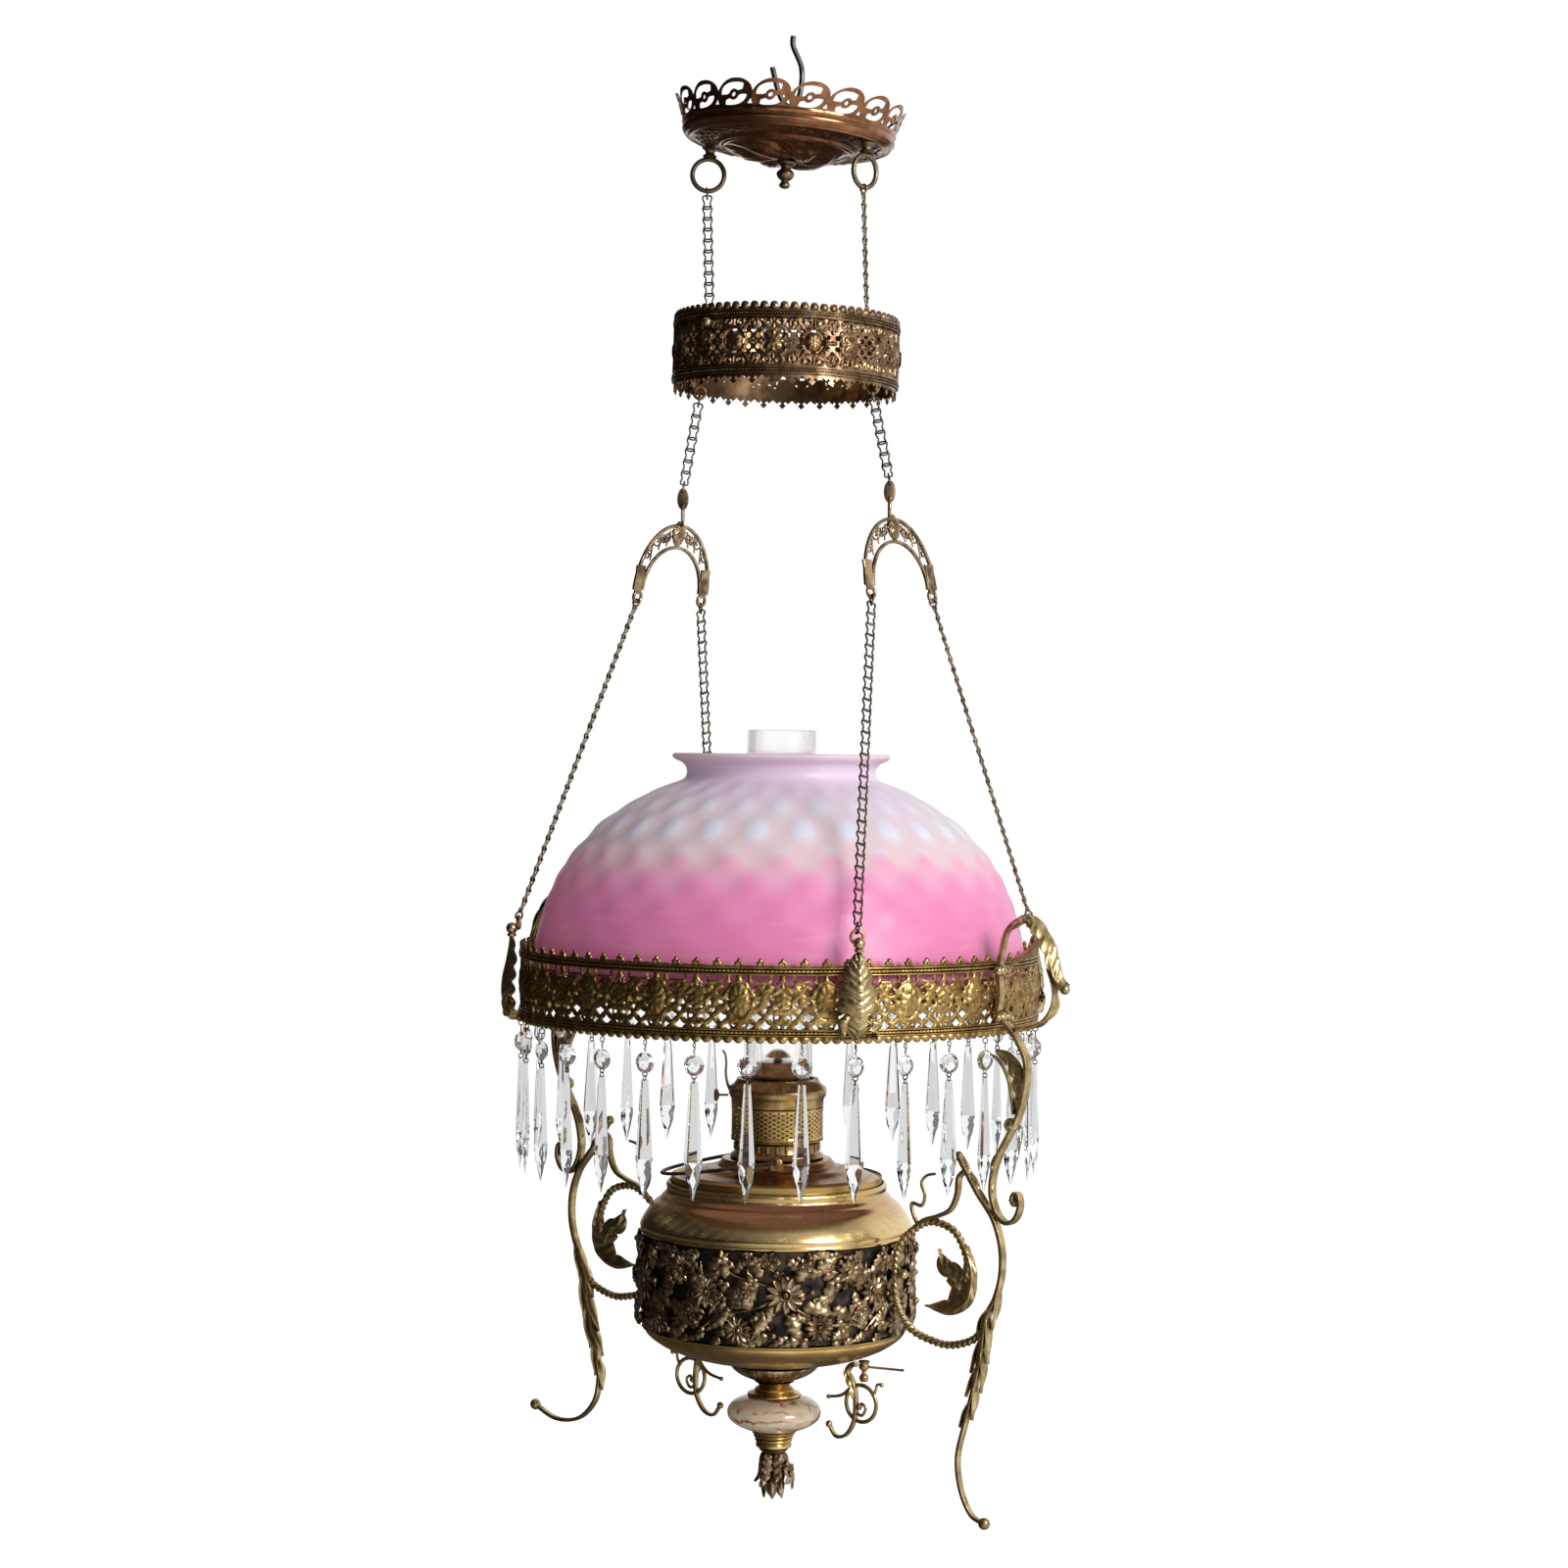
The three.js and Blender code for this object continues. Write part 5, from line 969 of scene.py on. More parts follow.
def cut_spear():
    """A six-sided rod with a broad face in front and behind, widening to a point cut in two rows of kites."""
    corners = np.array([[-0.52, 0.34], [0.52, 0.34], [1, 0], [0.52, -0.34], [-0.52, -0.34], [-1, 0]])
    between = (corners + np.roll(corners, -1, 0)) * 0.54
    rows = [(0.2, 0, 0), (2.6, 0.2, 0), (2.9, 2, 0), (3.0, 6, 0), (3.3, 8, 0), (6.3, 54, 0), (6.2, 59, 1),
            (4.6, 66, 0), (2.6, 72, 1), (0.3, 79.6, 0)]  # half width, depth, turned half a step
    faces = [(w, z, between if half else corners) for w, z, half in rows]
    return grid(np.stack([np.stack([f[:, 0] * w, f[:, 1] * w * 1.15, 0 * f[:, 0] - z], -1) for w, z,
                          f in faces]))


def small_wires():
    """The hook under the scallop, the rings at the bead and the ring through the spear's head."""
    hook = wire([(0, 0, -3.2), (0.7, 0, -4.4), (-0.5, 0, -5.6), (0.3, 0, -6.8), (0, 0, -7.6)], 16, 0.42,
                section=HEX)
    return join(wire_ring(1.8, 0.42, (0, 0, -1.6), "X", 20, HEX), hook,
                wire_ring(1.7, 0.42, (0, 0, -22.6), "Y", 20, HEX),
                wire_ring(1.6, 0.42, (0, 0, -25.4), "X", 20, HEX))


def hang_fringe():
    """32 strings under the scallops; each hangs with its bead and spear turned a little its own way."""
    rng = np.random.default_rng(7)
    spin = rng.uniform(-26, 26, (3, 32))
    glass_parts, wires = [], []
    for turn, (a, b, c) in zip(-85 + np.arange(32) * 360 / 32, spin.T):
        x, y, z = polar(185.0, turn, RING - 51.4)
        glass_parts += [placed(cut_bead(), turn + 90 + a, at=(x, y, z - 15)),
                        placed(cut_spear(), turn + 90 + b, at=(x, y, z - 26.3))]
        wires.append(placed(small_wires(), turn + 90 + c / 3, at=(x, y, z)))
    make("prism_glass", join(*glass_parts), "cut glass", "frame", "prism_fringe", crease=4)
    make("prism_wires", join(*wires), "chain", "frame", crease=60)


# Acanthus leaves that carry the lower chains

def leaf_bracket():
    """A leaf standing on the ring's wall: a beaded stem, six lobes a side, its head bent out to a ball."""
    path = [(1.2, 0, -47), (6, 0, -45.5), (11.6, 0, -40), (14.6, 0, -30), (14.2, 0, -18), (11.6, 0, -6),
            (9.6, 0, 6),
            (9.2, 0, 13)]
    broad = bulge(0, 15, 0.7, reach=1.04)
    blade = leaf(path, lambda t: 1.8 + broad(t) * (1 - 0.3 * t), 1.6, cup=-0.4, lobes=6,
                 depth=0.34, ribs=0.9, side=(0, -1, 0), rows=110, sides=36, veins=2)
    line = curve(np.array(path) + (1.1, 0, 0), 28)[2:-2]
    stem = [ball(1.0 - 0.02 * k, point, 6, 8) for k, point in enumerate(line)]
    curls = [leaf([(11, sign * 4, -31), (13.5, sign * 9, -35), (12, sign * 12.5, -41),
                   (6, sign * 11.5, -45.4),
                   (2.4, sign * 7.4, -45.4)], bulge(0.8, 3.6, 0.8), 1.3, cup=0.3, lobes=4, depth=0.4,
                   ribs=0.6,
                  side=(0.2, 0.2 * sign, 1), rows=60, sides=28, veins=2) for sign in (-1, 1)]
    knob = ball(4.1, (9.2, 0, 16.6), 14, 24)
    neck = placed(spun([(0, 10), (3, 11), (3.4, 12.4), (2.2, 13.4), (0, 14)], 24), at=(9.2, 0, 0))
    eye = wire_ring(4.2, 1.2, (4.4, 0, 20.6), "X", 32)
    stay = wire([(9.2, 0, 16.6), (6.4, 0, 17.2), (4.6, 0, 17.2)], 8, 1.3, section=FINE)
    return join(blade, *stem, *curls, knob, neck, eye, stay)


def dress_ring():
    level = {"at": (0, 0, RING)}
    make("shade_ring_wall", ring_sheet(), "gilt", "frame", "shade_ring", crease=75, **level)
    make("shade_ring_rails", ring_rails(), "gilt", "frame", crease=70, **level)
    make("ring_shelf", ring_ledge(), "brass", "frame", "ring_ledge", **level)
    for side, turn in LEAVES.items():
        make(f"acanthus_{side}", leaf_bracket(), "brass", "frame", f"leaf_bracket_{side}", crease=50,
             turn=turn,
             at=polar(RING_FACE, turn, RING))


# Arms: a leafy loop over the ring's edge, an S-shaped strap below, and the scroll brackets

def ring_hook():
    """A loop that rises from its boss, swells to a fluted leaf over the ring and ends in a tip ball."""
    wide, high = 55, 36
    shares = [[0.0, -0.95], [0.05, -0.5], [0.04, 0], [0.08, 0.42], [0.16, 0.78], [0.36, 1], [0.56, 0.97],
              [0.68, 0.76], [0.8, 0.48], [0.86, 0.16], [0.92, -0.14], [1, -0.28]]
    t = np.linspace(0, 1, 110)
    bar = swept(curve(upright(shares, wide, high, (0.8, -5.3)), 110), STRAP,
                np.stack([2.6 + 0.4 * np.cos(6 * t), 2.1 - 0.5 * t], 1))
    tail = curve(upright(shares[4:], wide, high, (1.6, -4.3)), 60)
    fluted = leaf(tail, bulge(3.6, 6.2, 0.9, reach=0.98), 2.4, cup=-0.45, lobes=6, depth=0.2, ribs=0.7,
                  rows=90,
                  sides=40, veins=1.5)
    feathers = []
    for k, side in ((k, side) for k in range(3) for side in (-1, 1)):
        path = upright([(0.5, 0.97), (0.66, 0.7 - 0.02 * k), (0.76 + 0.02 * k, 0.3), (0.84 + 0.03 * k, -0.1),
                        (0.95 + 0.02 * k, -0.32 + 0.05 * k)], wide, high, (1, -5))
        feathers.append(wire(path + (0, side * (1.5 + 2.1 * k), 0), 44, 1.9, 0.7, FINE))
    inner = leaf(upright([(0.66, 0.82), (0.6, 0.62), (0.46, 0.42), (0.3, 0.28), (0.2, 0.1)], wide, high,
                         (0.5, -5.3)),
                 bulge(2.2, 4), 2.0, cup=0.5, lobes=3, depth=0.25, ribs=0.6, rows=60)
    behind = leaf(upright([(0.8, 0.1), (0.9, -0.3), (0.88, -0.7), (0.7, -1.02), (0.4, -1.16), (0.06, -1.2)],
                          50, 33,
                          (1, -5.3)), bulge(1.2, 4.4, 0.8, reach=1.25), 1.8, cup=0.5, lobes=4, depth=0.35,
                          ribs=0.7,
                  rows=70)
    balls = [ball(3.6, (55.4, 0, -15.4), 12, 20), ball(3.9, (4.4, 0, -5.3), 12, 20),
             *[ball(3.2, (5.2, y, -5.3), 12, 16) for y in (5.4, -5.4)]]
    return join(bar, fluted, *feathers, inner, behind, *balls)


def s_arm():
    """A flat S-shaped strap with an arc and a small scroll web inside its bow."""
    shares = [[0.1, 0], [0.45, 0.05], [0.78, 0.13], [1, 0.23], [0.97, 0.37], [0.76, 0.51], [0.52, 0.6],
              [0.2, 0.71],
              [0.02, 0.81], [-0.04, 0.92], [0.12, 1.02], [0.4, 1.07], [0.68, 1.05], [0.84, 0.985],
              [0.8, 0.92],
              [0.66, 0.915], [0.6, 0.955]]
    strap = wire(upright(shares, 26, -131), 100, (4.1, 1.6), (3.4, 1.6), STRAP)
    inner = wire(upright([[-0.4, 0.19], [0.1, 0.22], [0.42, 0.31], [0.55, 0.42], [0.62, 0.5]], 26, -131), 40,
                 (1.5, 1), (2.3, 1), STRAP)
    a = np.linspace(0, 9, 36)
    web = []
    for x, z, size in ((18.6, -38, 4.6), (20.4, -47.5, 4), (19.4, -56, 3.2), (13.4, -31, 4)):
        r = np.linspace(size, 0.6, 36)
        web.append(swept(upright(np.stack([x + r * np.cos(a), z + r * np.sin(a)], 1), 1, 1), FINE,
                         (1.5, 0.75)))
    plate = frond([(1, 0, -23), (12, 0, -25), (21, 0, -34), (23.4, 0, -48), (18, 0, -68)],
                  bulge(1, 9.4, 0.8, ease=0.8), bulge(1.6, 0), 2.6, 4, 0.25, 0.8, plain=True)
    balls = [ball(4.4, (4.4, 0, 0), 14, 24), *[ball(3.4, (5.4, y, 0.4), 12, 16) for y in (5.8, -5.8)],
             ball(5, (13.6, 0, -73), 14, 20), ball(3.2, (17, 0, -125.6), 14, 20)]
    foot = frond([(12, 0, -84), (4, 0, -94), (-0.6, 0, -108), (1, 0, -120)], bulge(1, 2.6), bulge(0.8, 1.6),
                 4.6, 3,
                 0.3, 0.5)
    return join(strap, inner, *web, plate, *balls, foot)


SEAT, BACK, FALL = 103.9, 76.86, 218.0  # where the brackets start, how far they reach out and down


def route(*shares):
    """Points of a bracket, from shares of its reach and of its fall."""
    return upright(shares, BACK, -FALL, (SEAT, 0))


def rope(path, size, twists):
    """Two strands wound round each other: a round section whose edge swells as cos 2(f + turns)."""
    line = curve(path, 420)
    f = full_turn(16)[None]
    turn = np.linspace(0, twists * math.tau, len(line))[:, None]
    swell = 0.92 + 0.2 * np.cos(2 * (f + turn)) + 0.03 * np.cos(6 * (f + turn))
    return swept(line, np.stack([np.cos(f) * swell, np.sin(f) * swell], -1) * size)


LEG = ((0.717, -0.149), (0.912, -0.045), (1.001, -0.007), (1.095, 0.039), (1.169, 0.116), (1.177, 0.2),
       (1.12, 0.28), (1.01, 0.361), (0.939, 0.517), (0.817, 0.679))
LEG_END = {"right": ((0.729, 0.802), (0.765, 0.903), (0.878, 0.978), (1.019, 1)),
           "left": ((0.8, 0.75), (0.86, 0.83), (1.06, 0.895), (1.35, 0.91), (1.629, 0.874))}


def bracket_leg(side):
    """The long leg, thickest in the middle, with a sheath at its head and eight leaves in pairs down it."""
    line = curve(route(*LEG, *LEG_END[side]), 160)
    t = np.linspace(0, 1, 160)
    thick = 1.75 * (1 + 0.5 * np.exp(-((t - 0.5) / 0.1) ** 2)) * (1 - 0.2 * t)
    normal = unit(np.cross(np.gradient(line, axis=0), (0, 1, 0)))
    parts = [swept(line, STRAP, np.stack([3.6 - 1.3 * t, thick], 1)),
             ball(3.4, route((0.70, -0.152))[0], 12, 18),
             ball(4.2, line[-1], 14, 20), frond(line[:24], lambda s: 2.2 - s, bulge(2.4, 2), 5, 3, 0.35, 0.6)]
    for start, reach, out in ((56, 18, 5.6), (64, 16, -5.4), (68, 20, 6.2), (76, 18, -5.8), (82, 18, 5.4),
                              (88, 16, -5.2), (97, 15, 3.8), (104, 13, -3.8)):
        path = [line[start], line[start + reach // 2] + normal[start] * out * 0.75,
                line[start + reach] + normal[start + reach] * out]
        parts.append(leaf(path, bulge(0.5, 4.2, ease=0.7), 2.6, cup=0.15, ribs=0.5, rows=22, sides=16))
    return join(*parts)


def scroll_bracket(side):
    """A long leg, a rope ring lying on the holder, acanthus leaves inside it and a wavy tendril above."""
    ring = rope(route((0.99, 0.39), (0.86, 0.428), (0.655, 0.451), (0.476, 0.449), (0.21, 0.42),
                      (0.046, 0.346),
                      (0.02, 0.254), (0.06, 0.158), (0.271, 0.086), (0.459, 0.067), (0.68, 0.094),
                      (0.808, 0.177),
                      (0.8, 0.24)), 2.7, 24)
    branch = wire(route((0.16, 0.115), (0.32, 0.066), (0.48, 0.046), (0.62, 0.02), (0.69, -0.03),
                        (0.71, -0.085),
                        (0.79, -0.112)), 50, (2.2, 1.4), (2.8, 1.7), STRAP)
    curl = frond(route((0.8, 0.13), (0.875, 0.21), (0.83, 0.3), (0.62, 0.345), (0.36, 0.335)),
                 bulge(0.8, 16, 1.1, reach=1.02), bulge(0.8, 2.6, 0.8), 4.4, 4, 0.36, 1.0, plain=True)
    lobe = frond(route((0.74, 0.27), (0.66, 0.22), (0.56, 0.2), (0.5, 0.15)),
                 bulge(1, 7, 0.6, 0.12), bulge(1, 8, 0.6, 0.12), 3.6, 2, 0.3, 0.9)
    bud = ball(2.5, route((0.25, 0.325))[0], 10, 14)
    tendril = wire(route((0.271, 0.086), (0.21, 0.05), (0.197, 0.015), (0.302, 0.018), (0.336, -0.014),
                         (0.297, -0.053), (0.354, -0.079), (0.45, -0.088)), 90, 1.6, 1.0)
    return join(bracket_leg(side), ring, branch, curl, lobe, bud, tendril)


def bracket_nut():
    """A domed nut, lying along X."""
    return placed(spun([(0, 3.4), (1.6, 3.2), (2.9, 2.2), (3.5, 0.4), (3.3, -1.6), (2.4, -2.6), (0, -2.8)],
                       24, 30), 0, 90)


def hang_arms():
    for side, turn in ARMS.items():
        way = {"finish": "brass", "turn": turn}
        work(f"ring_hook_{side}", ring_hook(), crease=50, at=polar(RING_FACE, turn, RING), **way)
        work(f"s_arm_{side}", s_arm(), crease=50, at=polar(RING_FACE, turn, RING - 37.5), **way)
        work(f"scroll_bracket_{side}", scroll_bracket(side), crease=50, at=(0, 0, JOINT), **way)
        work(f"bracket_nut_{side}", bracket_nut(), at=polar(SEAT + 0.02 * BACK + 6.4, turn, JOINT - 54),
             **way)


# Pink shade

HOBS = ((-542.5, 10, 0.8), (-553.8, 13, 1.3), (-569, 16, 1.8), (-588.9, 18, 1.9), (-605.6, 18, 1.5),
        (-622.5, 18, 1.1), (-641, 18, 0.6))  # level, breadth and height of each row


def hob_field(a, z):
    """Rows of 26 round swellings, each row turned half a step: a bell across and along the row."""
    total = 0 * a
    for k, (level, wide, high) in enumerate(HOBS):
        along = (0.5 + 0.5 * np.cos(26 * a + np.pi * (k % 2))) ** 1.15
        total = total + high * along * np.exp(-((z - level) / (wide * 0.52)) ** 2)
    return total


def shade_shell():
    """The profile turned about Z, its outside pushed out along its normal by the hobs."""
    shares = [[1, 0], [0.997, 0.08], [0.985, 0.17], [0.935, 0.35], [0.85, 0.52], [0.72, 0.68], [0.57, 0.795],
              [0.46, 0.852], [0.405, 0.878], [0.389, 0.895], [0.386, 0.915], [0.391, 0.935], [0.404, 0.951],
              [0.428, 0.963], [0.441, 0.973], [0.446, 0.984], [0.443, 0.994], [0.434, 1.0]]
    a, r, z = wheel(curve(np.array(shares) * (177.8, 159) + (0, SHADE), 120), 390)
    flat = bent(a, r, z)
    ahead, across = np.gradient(flat, axis=0), np.roll(flat, -1, 1) - np.roll(flat, 1, 1)
    normal = -unit(np.cross(ahead, across))
    hob = hob_field(a, z)
    sheet = np.concatenate([flat + normal * (hob[..., None] - 0.6), (flat - normal * 3.2)[::-1]])
    return grid(sheet, loop=True), np.concatenate([hob, 0 * hob - 1]).reshape(-1)


def set_shade():
    shape, hob = shade_shell()
    make("glass_shade", shape, "shade", "shade", "shade", marks=("hob", hob))


# Fount holder: turned shoulder, floral band, bowl and foot

def holder_shoulder():
    shares = [[-0.02, 1], [0.04, 1.0], [0.09, 0.93], [0.06, 0.86], [0.1, 0.79], [0.22, 0.72], [0.3, 0.66],
              [0.52, 0.56], [0.78, 0.36], [0.93, 0.2], [0.96, 0.12], [0.93, 0.07], [0.96, 0.035], [0.95, 0.0]]
    return walled(bent(*wheel(curve(np.array(shares) * (21.2, 35.9) + (77.8, HOLDER), 76), 144)), 1.1)


def petal(length, half, lift, thick=1.0, tip=0.9, start=0.2):
    """A petal along +X: across cos f, out sin f, its ridge lifted between root and tip, a groove along it."""
    t = np.linspace(0, 1, 7)[:, None]
    f = full_turn(8)[None]
    wide = half * np.sin(np.pi * np.clip(0.12 + t * tip, 0, 1)) ** 0.7
    c = np.cos(f)
    hollow = (np.sin(f) > 0.6) * (0.55 * np.abs(c) ** 1.5 * (1 - c**4) - 0.5 * np.exp(-(c / 0.3) ** 2))
    out = lift * (0.25 + np.sin(np.pi * (0.12 + 0.76 * t))) + thick * (0.55 * np.sin(f) + hollow)
    points = np.stack([length * (start + (1 - start) * t) + 0 * f, wide * c, out], -1)
    root, end = [points[k:][:1].mean(1, keepdims=True) + 0 * points[:1] for k in (0, -1)]
    return grid(np.concatenate([root, points, end]))


def daisy(size, petals=12):
    """Petals round a ringed button."""
    button = join(ball(size * 0.17, (0, 0, 2.6), 7, 12, 0.7),
                  wire_ring(size * 0.25, size * 0.055, (0, 0, 2.1), "Z", 18, HEX))
    return join(around(petal(size, size * 0.17, 2.2, 1.3), np.arange(petals) * 360 / petals), button)


def rose(size):
    """Broad petals in three tiers, five, four and three, each standing higher, round a bud."""
    tiers = [around(placed(petal(size * reach, size * wide, lift, 1.2, 0.86, 0.1), at=(0, 0, up)),
                    turn + np.arange(count) * 360 / count)
             for reach, wide, lift, up, count,
             turn in ((1.0, 0.46, 1.6, 0.2, 5, 0), (0.7, 0.36, 2.0, 1.3, 4, 31),
                                                        (0.44, 0.26, 1.8, 2.4, 3, 70))]
    return join(*tiers, ball(size * 0.16, (0, 0, 4.2), 6, 10))


def veined(length, half):
    """A pointed, toothed leaf folded along its middle: c runs across it, its face falls by |c| from the fold
    and ripples with veins that run forward from it."""
    t = np.linspace(0, 1, 22)[:, None]
    f = full_turn(12)[None]
    c, top = np.cos(f) + 0 * t, np.sin(f) > 0.01
    teeth = 1 - 0.45 * (1 - np.abs(np.sin(4 * np.pi * t)))
    wide = 0.3 + half * np.sin(np.pi * t ** 0.7) * (1.25 - 0.5 * t) * teeth
    fold = 0.36 * half * np.sin(np.pi * t) ** 0.6 * (1 - np.abs(c))
    veins = 0.3 * np.cos(math.tau * (4 * t - 0.9 * np.abs(c))) * np.sqrt(np.abs(c)) * (1 - c**4)
    out = 0.4 + 1.2 * np.sin(np.pi * (0.1 + 0.8 * t)) + fold + np.where(top, veins, -0.8 + 0.5 * np.abs(c))
    return grid(np.stack([length * t + 0 * c, wide * c, out], -1))


KINDS = {"daisy": daisy, "rose": rose, "leaf": lambda size: veined(1.2 * size, size * 0.25),
         "bud": lambda size: ball(size, (0, 0, 2.4), 7, 10)}
SPRAY = {  # kind: (across, up, size, turn), in one fifth of the band
    "daisy": ((2, -30, 15, 5), (26, -53, 11.5, 0), (-30, -55, 11, 12), (47, -16, 11, 8), (-54, -30, 12, 4)),
    "rose": ((-28, -31, 11.5, 20), (57, -46, 11, 70), (-8, -7, 7, 0), (16, -10, 6, 40)),
    "leaf": ((10, -22, 19, 62), (14, -38, 23, -16), (4, -44, 21, -64), (-12, -44, 19, -118),
             (-14, -18, 18, 128),
             (24, -12, 18, 24), (30, -32, 20, 52), (36, -40, 19, -30), (-40, -20, 18, 100),
             (-38, -44, 18, -140),
             (44, -28, 17, 70), (48, -58, 16, 190), (-52, -14, 16, 40), (-48, -58, 15, 15),
             (14, -60, 15, 200),
             (60, -28, 17, 110), (-20, -62, 15, 160), (60, -8, 15, 170), (34, -4, 14, 160),
             (-30, -8, 15, 10)),
    "bud": ((18, -8, 2.6, 0), (38, -24, 2.8, 0), (-6, -58, 2.5, 0), (36, -60, 2.6, 0), (-18, -46, 2.4, 0),
            (-44, -8, 2.6, 0), (-58, -48, 2.6, 0), (-62, -52, 2.2, 0), (40, -8, 2.2, 0), (-56, -56, 2.2, 0),
            (-40, -34, 2.2, 0), (20, -28, 2.3, 0)),
}
STEMS = (((-60, -58), (-44, -46), (-20, -40), (-6, -34)), ((6, -38), (20, -46), (34, -52), (50, -52)),
         ((22, -62), (24, -44), (38, -30), (44, -18)), ((-44, -2), (-36, -16), (-18, -22), (-4, -26)),
         ((10, -4), (22, -14), (40, -14), (60, -22)))


def spray(turn):
    """Blossoms over a bed of smaller leaves, laid out flat and bent to one fifth of the band: x runs round,
    y up, z out."""
    rng = np.random.default_rng(3)
    row, column = np.divmod(np.arange(50), 10)
    bed = zip(column * 12.3 - 58 + rng.uniform(-3, 3, 50), row * -14 - 4 + rng.uniform(-3, 3, 50),
              rng.uniform(15, 22, 50), rng.uniform(0, 360, 50))
    flat = [placed(veined(size, size * 0.2), way, at=(x, y, 0.2)) for x, y, size, way in bed]
    flat += [placed(KINDS[kind](size), way, at=(x, y, 1.3)) for kind in SPRAY for x, y, size,
             way in SPRAY[kind]]
    flat += [wire([(x, y, 1.6) for x, y in stem], 30, 1.0, section=HEX, side=(0, 0, 1)) for stem in STEMS]
    points, quads = join(*flat)
    x, y, z = points.T
    a = (x + 15) / 97.6 + math.radians(turn - 96)
    return bent(a, SPRAY_WALL + np.minimum(z, 6.5), np.clip(y, -66.4, -0.6)), quads


def floral_sheet():
    """The thin sheet behind the flowers, pierced between them in four rows of holes."""
    length = math.tau * SPRAY_WALL

    def metal(x, y):
        u, w = cell(x, length / 25), cell(x, length / 25, length / 50)
        return -either(disc(u, y, 3.2, 0, -14, 1.3), disc(w, y, 3.6, 0, -27, 1.2),
                       disc(u, y, 3.4, 1, -40, 1.3),
                       disc(w, y, 3.0, 0, -53, 1.4))

    return pierced(length, (-66.9, -0.1), metal, round_wall(96.3), (400, 42), 1.1)


def holder_bowl():
    shares = [[0.985, 0], [0.997, 0.02], [1, 0.05], [0.985, 0.085], [0.988, 0.13], [0.965, 0.24],
              [0.92, 0.36],
              [0.84, 0.52], [0.7, 0.7], [0.52, 0.84], [0.36, 0.93], [0.2, 0.985], [0.04, 1.0]]
    return walled(bent(*wheel(curve(np.array(shares) * (95.4, -28.6) + (0, BOWL), 70), 144)), 1.2)


def holder_liner():
    """The plain drum behind the pierced sheet."""
    line = np.stack([np.full(4, LINER), np.linspace(-861.5, -927, 4)], 1)
    return walled(bent(*wheel(line, 120)), 0.8)


def leaf_cup():
    """Twelve gadroons under the bowl, each with a leaf's rib: |cos 6a| deepens the flutes."""
    def flutes(a, r, z, s):
        lobe = np.abs(np.cos(6 * a)) ** 0.6
        return (lobe - 0.75) * 3.2 * np.sin(np.pi * s) + 0.5 * np.cos(48 * a) * np.sin(np.pi * s)
    cup = spun([(31.6, -0.4), (31, -2.4), (27.5, -5.6), (21, -8.8), (15.4, -11.4), (13.4, -12.2)], 288, 40,
               flutes)
    top = spun([(SCREW_ROD, -0.4), (31.2, -0.4)], 288)
    core = spun([(12.9, -0.8), (12.9, -12.3), (SCREW_ROD, -12.3)], 96)
    return join(cup, top, core)


TURNED = {  # turned pieces on the rod: level, points drawn, outline
    "neck_collar": (NECK, 60, [
        (SCREW_ROD, -0.2), (13.4, -0.2), (13.8, -0.8), (12.4, -1.6), (11.2, -3), (11.4, -4.2), (13.6, -5.2),
        (14.2, -6), (13.8, -6.6), (15.6, -7.6), (18.8, -8.6), (19.4, -9.6), (19.2, -10.6), (17.6, -10.8),
        (SCREW_ROD, -10.8)]),
    "onyx_knop": (KNOP, 90, [
        (SCREW_ROD, -0.2), (16.5, -0.2), (22.5, -1.2), (29.4, -4.2), (33.2, -8.6), (33.8, -12.4),
        (32.4, -16.4),
        (28, -20), (22, -22.8), (16.6, -24.4), (14.6, -24.8), (SCREW_ROD, -24.8)]),
    "lower_collar": (COLLAR, 60, [
        (SCREW_ROD, -0.2), (15.2, -0.2), (15.8, -1), (15.4, -2), (14, -2.6), (14.6, -3.6), (14.2, -4.6),
        (12.8, -5.2), (13.6, -6.2), (13.4, -7.4), (12, -8.2), (12.9, -9.4), (12.8, -10.8), (11.8, -11.8),
        (SCREW_ROD, -11.8)]),
}


def flower_drop():
    """A bell of leaves round a stem: five outer leaves that curl out, five inner ones, a lily and two buds,
    all drawn in to the drop's own radius."""
    stem = spun([(SCREW_ROD, -0.4), (9.8, -0.4), (10.6, -1.6), (8.6, -3.4), (5.6, -7), (3.4, -14),
                 (2.6, -24), (0, -30)],
                40, 40)
    outer = around(leaf([(5, 0, -2.4), (9.4, 0, -7), (10.6, 0, -14), (11.4, 0, -21), (14.6, 0, -27)],
                        bulge(0.7, 5.2, 0.8, 0.12, 0.86), 1.2, cup=-0.5, lobes=5, ribs=0.6, rows=50),
                   12 + np.arange(5) * 72)
    inner = around(leaf([(3, 0, -14), (6.4, 0, -20), (8, 0, -28), (6.6, 0, -36.6)],
                        bulge(0.6, 4.4, 0.8, 0.1, 0.9), 1.1, cup=-0.5, lobes=3, depth=0.2, ribs=0.5, rows=40,
                        sides=20),
                   48 + np.arange(5) * 72)
    lily = join(around(petal(11, 3.4, 1.6, 1.2), np.arange(6) * 60), ball(2, (0, 0, 2), 7, 12))
    lily = placed(placed(lily, 0, 78), -20, at=(10.4, -4.4, -19))
    buds = join(ball(2.6, (-6, -7, -17), 8, 12), ball(2.2, (2, -9, -23), 8, 12))
    points, quads = join(stem, outer, inner, lily, buds)
    near = np.hypot(points[:, 0], points[:, 1])
    points[:, :2] *= (np.minimum(near, 15.5) / np.maximum(near, 1e-6))[:, None]
    return points, quads


